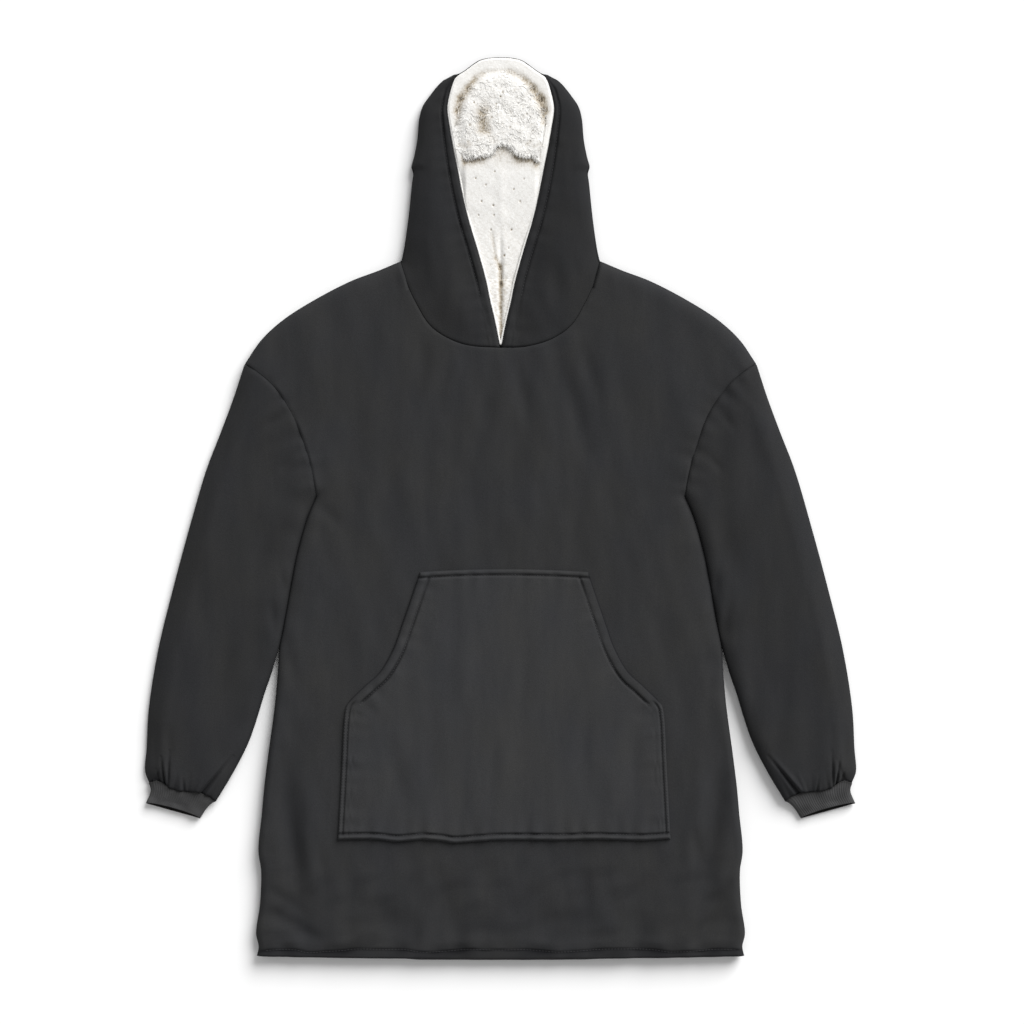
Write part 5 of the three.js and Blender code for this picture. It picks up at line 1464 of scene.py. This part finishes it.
chance = np.random.default_rng(131)
lock_x = chance.uniform(-LOCKS_HALF, LOCKS_HALF, 6 * LOCKS)
lock_y = chance.uniform(LOCKS_FOOT_Y, LOCKS_HEAD_Y, 6 * LOCKS)
on_bunch = inside(bunch_line, lock_x, lock_y)
lock_x = lock_x[on_bunch][:LOCKS]
lock_y = lock_y[on_bunch][:LOCKS]
fold_share = chance.uniform(0, 1, FRINGE)
fold_edge = at_shares(fold_line, fold_share)
lock_turn = 1.5 * wander(lock_x, lock_y, 0.045, 0.045, 132) + chance.uniform(-0.9, 0.9, LOCKS)
lock_x = np.concatenate([lock_x, fold_edge[:, 0]])
lock_y = np.concatenate([lock_y, fold_edge[:, 1] + chance.uniform(0.0012, 0.0040, FRINGE)])
lock_turn = np.concatenate([lock_turn, chance.uniform(-0.5, 0.5, FRINGE)]) - math.pi / 2
# Each lock takes the pile's painted shade and tone at its root; the fringe takes none.
lock_z, lock_painted_shade_and_tone = lining_surface(lock_x, lock_y)
lock_painted_shade_and_tone[LOCKS:] = 0
lock_roots = np.column_stack([lock_x, lock_y, lock_z])
locks = pile_locks("sherpa_locks", lock_roots, lock_turn, lock_painted_shade_and_tone, chance)
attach(locks, "root")


# Pile edge. A narrow roll of the lining's pile shows as a white line all along the opening.
PILE_EDGE = 0.0013
PILE_EDGE_INSET = 0.0011
PILE_EDGE_FOOT_Y = 0.223
PILE_EDGE_HEAD_Y = 0.588
PILE_EDGE_Z = 0.0150
PILE_EDGE_RISE = 0.0036
PILE_EDGE_SIDES = 8


def pile_roll(name, line, heights, radius, seed):
    """A soft roll along a line, a little uneven in thickness."""
    chance = np.random.default_rng(seed)
    girths = radius * chance.uniform(0.85, 1.15, (len(line), PILE_EDGE_SIDES))
    girths[[0, -1]] *= 0.3
    centres = np.column_stack([line, heights])[None]
    runs = heading_of(line)[None]
    return round_rods(name, centres, runs, girths[None], sherpa_pile, np.zeros(girths.size))


edge_side = at_value(opening_side_line, 1, np.linspace(PILE_EDGE_FOOT_Y, PILE_EDGE_HEAD_Y, 300))
edge_crown = at_shares(opening_crown_line, np.linspace(LINING_CROWN_START, 1, 70))
half_edge = beside(np.vstack([edge_side, edge_crown]), -PILE_EDGE_INSET)
whole_edge = np.vstack([half_edge, half_edge[-2::-1] * (-1, 1)])
edge_heights = PILE_EDGE_Z + PILE_EDGE_RISE * ease(whole_edge[:, 1], 0.440, 0.500)
pile_edge = pile_roll("opening_pile_edge", whole_edge, edge_heights, PILE_EDGE, 141)
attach(pile_edge, "root")


# Lining below the neck. The same sherpa on the inside of the back, seen at the foot of the
# opening, with its centre seam sunk between two soft halves.
BACK_LINING_TOP_Z = 0.0142
BACK_LINING_EDGE_Z = 0.0122
BACK_LINING_FOOT_Y = 0.2245
BACK_LINING_HEAD_Y = 0.3130
BACK_LINING_INSET = 0.0006

back_lining_rows = spread([0, 1], [80])
back_lining_shares = spread([-1, 1], [28])
back_lining_y = BACK_LINING_FOOT_Y + back_lining_rows * (BACK_LINING_HEAD_Y - BACK_LINING_FOOT_Y)
back_lining_half = at_value(opening_side_line, 1, back_lining_y)[:, :1] - BACK_LINING_INSET
back_lining_x = back_lining_half * back_lining_shares
back_lining_plan = np.dstack([back_lining_x, back_lining_y[:, None] + 0 * back_lining_x])


def back_lining_surface(x, y):
    """The pile below the neck, and the shade and tone painted at each place."""
    opening = nearest(opening_line, np.abs(x), y)[0]
    coarse = locks_relief(x, y, 0.0040, 151)
    seam = 0.0026 * dip(x, 0.0030)
    head = 0.0013 * ease(y, BACK_LINING_HEAD_Y - 0.0130, BACK_LINING_HEAD_Y)
    free = BACK_LINING_TOP_Z + 0.0002 * coarse - seam - head
    mottled = np.clip(0.35 + wander(x, y, 0.006, 0.006, 125), 0, 1)
    # Painted shade in the centre seam and between the locks, with the flecks of backing and an uneven
    # darker mottle.
    painted_shade_and_tone = pile_painted_shade_and_flecks(x, y) + 0.19 * mottled + 0.04 * np.exp(-((coarse / 0.15) ** 2))
    height = BACK_LINING_EDGE_Z + (free - BACK_LINING_EDGE_Z) * rounded(opening, 0.002)
    return height, painted_shade_and_tone


back_lining_grid, back_lining_painted_shade_and_tone = raise_grid(back_lining_plan, back_lining_surface)
back_lining = panel_on_plane(
    "back_lining_sherpa", back_lining_grid, MIDDLE_Z + SEAM_GAP / 2, sherpa_pile, back_lining_painted_shade_and_tone
)
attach(back_lining, "root")
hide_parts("back_lining")


# Stitching. Charcoal thread in a lockstitch, sunk in the groove that it pulls: round the face
# opening, along the hem, and round the pocket.
STITCH = 0.0034
STITCH_GAP = 0.0009
STITCH_RISE = 0.00045
STITCH_SUNK = 0.0001
THREAD = 0.00032
THREAD_TAPER = [0.45, 0.9, 1, 0.9, 0.45]
THREAD_SIDES = 5
HEM_ROW_HALF = 0.322
TOP_ROW_HALF = 0.104
BOTTOM_ROW_HALF = 0.218
EDGE_ROW_INSET = 0.0022
# The casing's row of stitches starts and ends at these heights up the hood.
CASING_ROW_Y = (0.290, 0.560)


def twisted_thread(name):
    """Charcoal sewing thread, a little lighter on each twist."""
    material, tree, shader = new_material(name)
    place = add_node(tree, "TexCoord", {}, "Object")
    twist = add_node(tree, "TexWave", {"Vector": place, "Scale": 900}, "Fac")
    tone = tones(tree, twist, [(0, (0.020, 0.020, 0.022, 1)), (1, (0.038, 0.038, 0.041, 1))])
    feed(tree, shader, {"Base Color": tone, "Roughness": 0.6})
    return material


charcoal_thread = twisted_thread("charcoal_thread")


def stitch_row(name, line, height_at):
    """Stitches along a line. Each is a short arch of thread that dives into the cloth at its ends."""
    run = lengths_of(line)
    starts = np.arange(0.001, run[-1] - STITCH, STITCH + STITCH_GAP)
    shares = np.linspace(0, 1, len(THREAD_TAPER))
    at = starts[:, None] + shares * STITCH
    x = np.interp(at, run, line[:, 0])
    y = np.interp(at, run, line[:, 1])
    z = height_at(x, y) + STITCH_RISE * np.sin(math.pi * shares) ** 0.6 - STITCH_SUNK
    centres = np.dstack([x, y, z])
    chords = centres[:, -1:, :2] - centres[:, :1, :2]
    runs = chords / np.hypot(chords[..., :1], chords[..., 1:])
    girths = np.tile(THREAD * np.array(THREAD_TAPER)[:, None], (len(starts), 1, THREAD_SIDES))
    row = round_rods(name, centres, runs, girths, charcoal_thread)
    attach(row, "root")


hem_x = np.linspace(-HEM_ROW_HALF, HEM_ROW_HALF, 240)
hem_line = np.column_stack([hem_x, HEM_Y + HEM_SEAM + np.interp(hem_x, *hem_stray.T)])
stitch_row("hem_stitches", hem_line, lambda x, y: front_surface(x, y)[0])


def pocket_row(name, line):
    """Stitches on the pocket, along a line round its middle."""
    stitch_row(name, line + (POCKET_X, 0), lambda x, y: pocket_surface(x - POCKET_X, y)[0])


opening_band = pocket_side_line[pocket_side_line[:, 1] > POCKET_OPENING_Y]
sewn_side = pocket_side_line[pocket_side_line[:, 1] < POCKET_OPENING_Y - 0.004]
opening_row = beside(opening_band, -POCKET_BAND)[4:-24]
side_row = beside(sewn_side, -POCKET_SEAM_INSET)[24:]
outer_side_row = beside(sewn_side, -EDGE_ROW_INSET)[24:]
for side, mirror in (("left", 1), ("right", -1)):
    pocket_row(f"pocket_opening_stitches_{side}", opening_row * (mirror, 1))
    pocket_row(f"pocket_side_stitches_{side}", side_row * (mirror, 1))
    pocket_row(f"pocket_edge_stitches_{side}", outer_side_row * (mirror, 1))
top_x = np.linspace(-TOP_ROW_HALF, TOP_ROW_HALF, 80)
top_y = POCKET_TOP_Y + POCKET_TOP_BOW * (1 - (top_x / POCKET_TOP_HALF) ** 2) - POCKET_TOP_BAND
pocket_row("pocket_top_stitches", np.column_stack([top_x, top_y]))
bottom_x = np.linspace(-BOTTOM_ROW_HALF, BOTTOM_ROW_HALF, 160)
bottom_y = pocket_bottom_line(bottom_x) + POCKET_LIP
pocket_row("pocket_bottom_stitches", np.column_stack([bottom_x, bottom_y]))


def casing_row(name, mirror, seed):
    """Stitches along the casing's inner edge, on one side of the face opening."""
    heights = opening_side_line[:, 1]
    line = opening_side_line[(heights > CASING_ROW_Y[0]) & (heights < CASING_ROW_Y[1])]
    stitch_row(
        name,
        beside(line, casing_depth(line[:, 1])[:, None]) * (mirror, 1),
        lambda x, y: hood_surface(np.abs(x), y, np.full(x.shape, 0.08), seed)[0],
    )


casing_row("casing_stitches_left", 1, 101)
casing_row("casing_stitches_right", -1, 111)


# Plain daylight studio: a white floor that the hoodie lies on, white light from all round, a
# wide soft light from the upper right, and a camera that looks straight down.
def plain_floor(name):
    material, tree, shader = new_material(name)
    feed(tree, shader, {
        "Base Color": (0.93, 0.93, 0.93, 1),
        "Roughness": 1,
        "Specular IOR Level": 0,
    })
    return material


FLOOR_HALF = 4
FLOOR_Z = -0.0005
floor_mesh = bpy.data.meshes.new("floor")
corners = [(-1, -1), (1, -1), (1, 1), (-1, 1)]
floor_points = [(FLOOR_HALF * x, FLOOR_HALF * y, FLOOR_Z) for x, y in corners]
floor_mesh.from_pydata(floor_points, [], [(0, 1, 2, 3)])
floor_mesh.materials.append(plain_floor("floor_white"))
floor = bpy.data.objects.new("floor", floor_mesh)
bpy.context.scene.collection.objects.link(floor)

SKY_STRENGTH = 0.45
scene = bpy.context.scene
scene.view_settings.view_transform = "Standard"
scene.world = scene.world or bpy.data.worlds.new("daylight")
scene.world.use_nodes = True
sky = scene.world.node_tree.nodes["Background"]
sky.inputs["Color"].default_value = (1, 1, 1, 1)
sky.inputs["Strength"].default_value = SKY_STRENGTH

SUN_HEIGHT = math.radians(31)
SUN_SIDE = math.radians(54)
SUN_WIDTH = math.radians(42)
SUN_STRENGTH = 4.3
sun_data = bpy.data.lights.new("daylight_softbox", "SUN")
sun_data.energy = SUN_STRENGTH
sun_data.angle = SUN_WIDTH
sun = bpy.data.objects.new("daylight_softbox", sun_data)
sun.rotation_euler = (math.pi / 2 - SUN_HEIGHT, 0, SUN_SIDE + math.pi / 2)
scene.collection.objects.link(sun)

# The picture's size in pixels, a pixel's real size, and where the hoodie's middle lies in it.
PICTURE = 1024
PIXEL = 0.001367
MIDDLE_COLUMN = 500.5
MIDDLE_ROW = 508
LENS = 90
SENSOR = 36
view_width = PICTURE * PIXEL
camera_data = bpy.data.cameras.new("camera")
camera_data.lens = LENS
camera_data.sensor_width = SENSOR
camera = bpy.data.objects.new("camera", camera_data)
camera.location = (
    (PICTURE / 2 - MIDDLE_COLUMN) * PIXEL,
    (MIDDLE_ROW - PICTURE / 2) * PIXEL,
    TOP_Z + view_width * LENS / SENSOR,
)
scene.collection.objects.link(camera)
scene.camera = camera
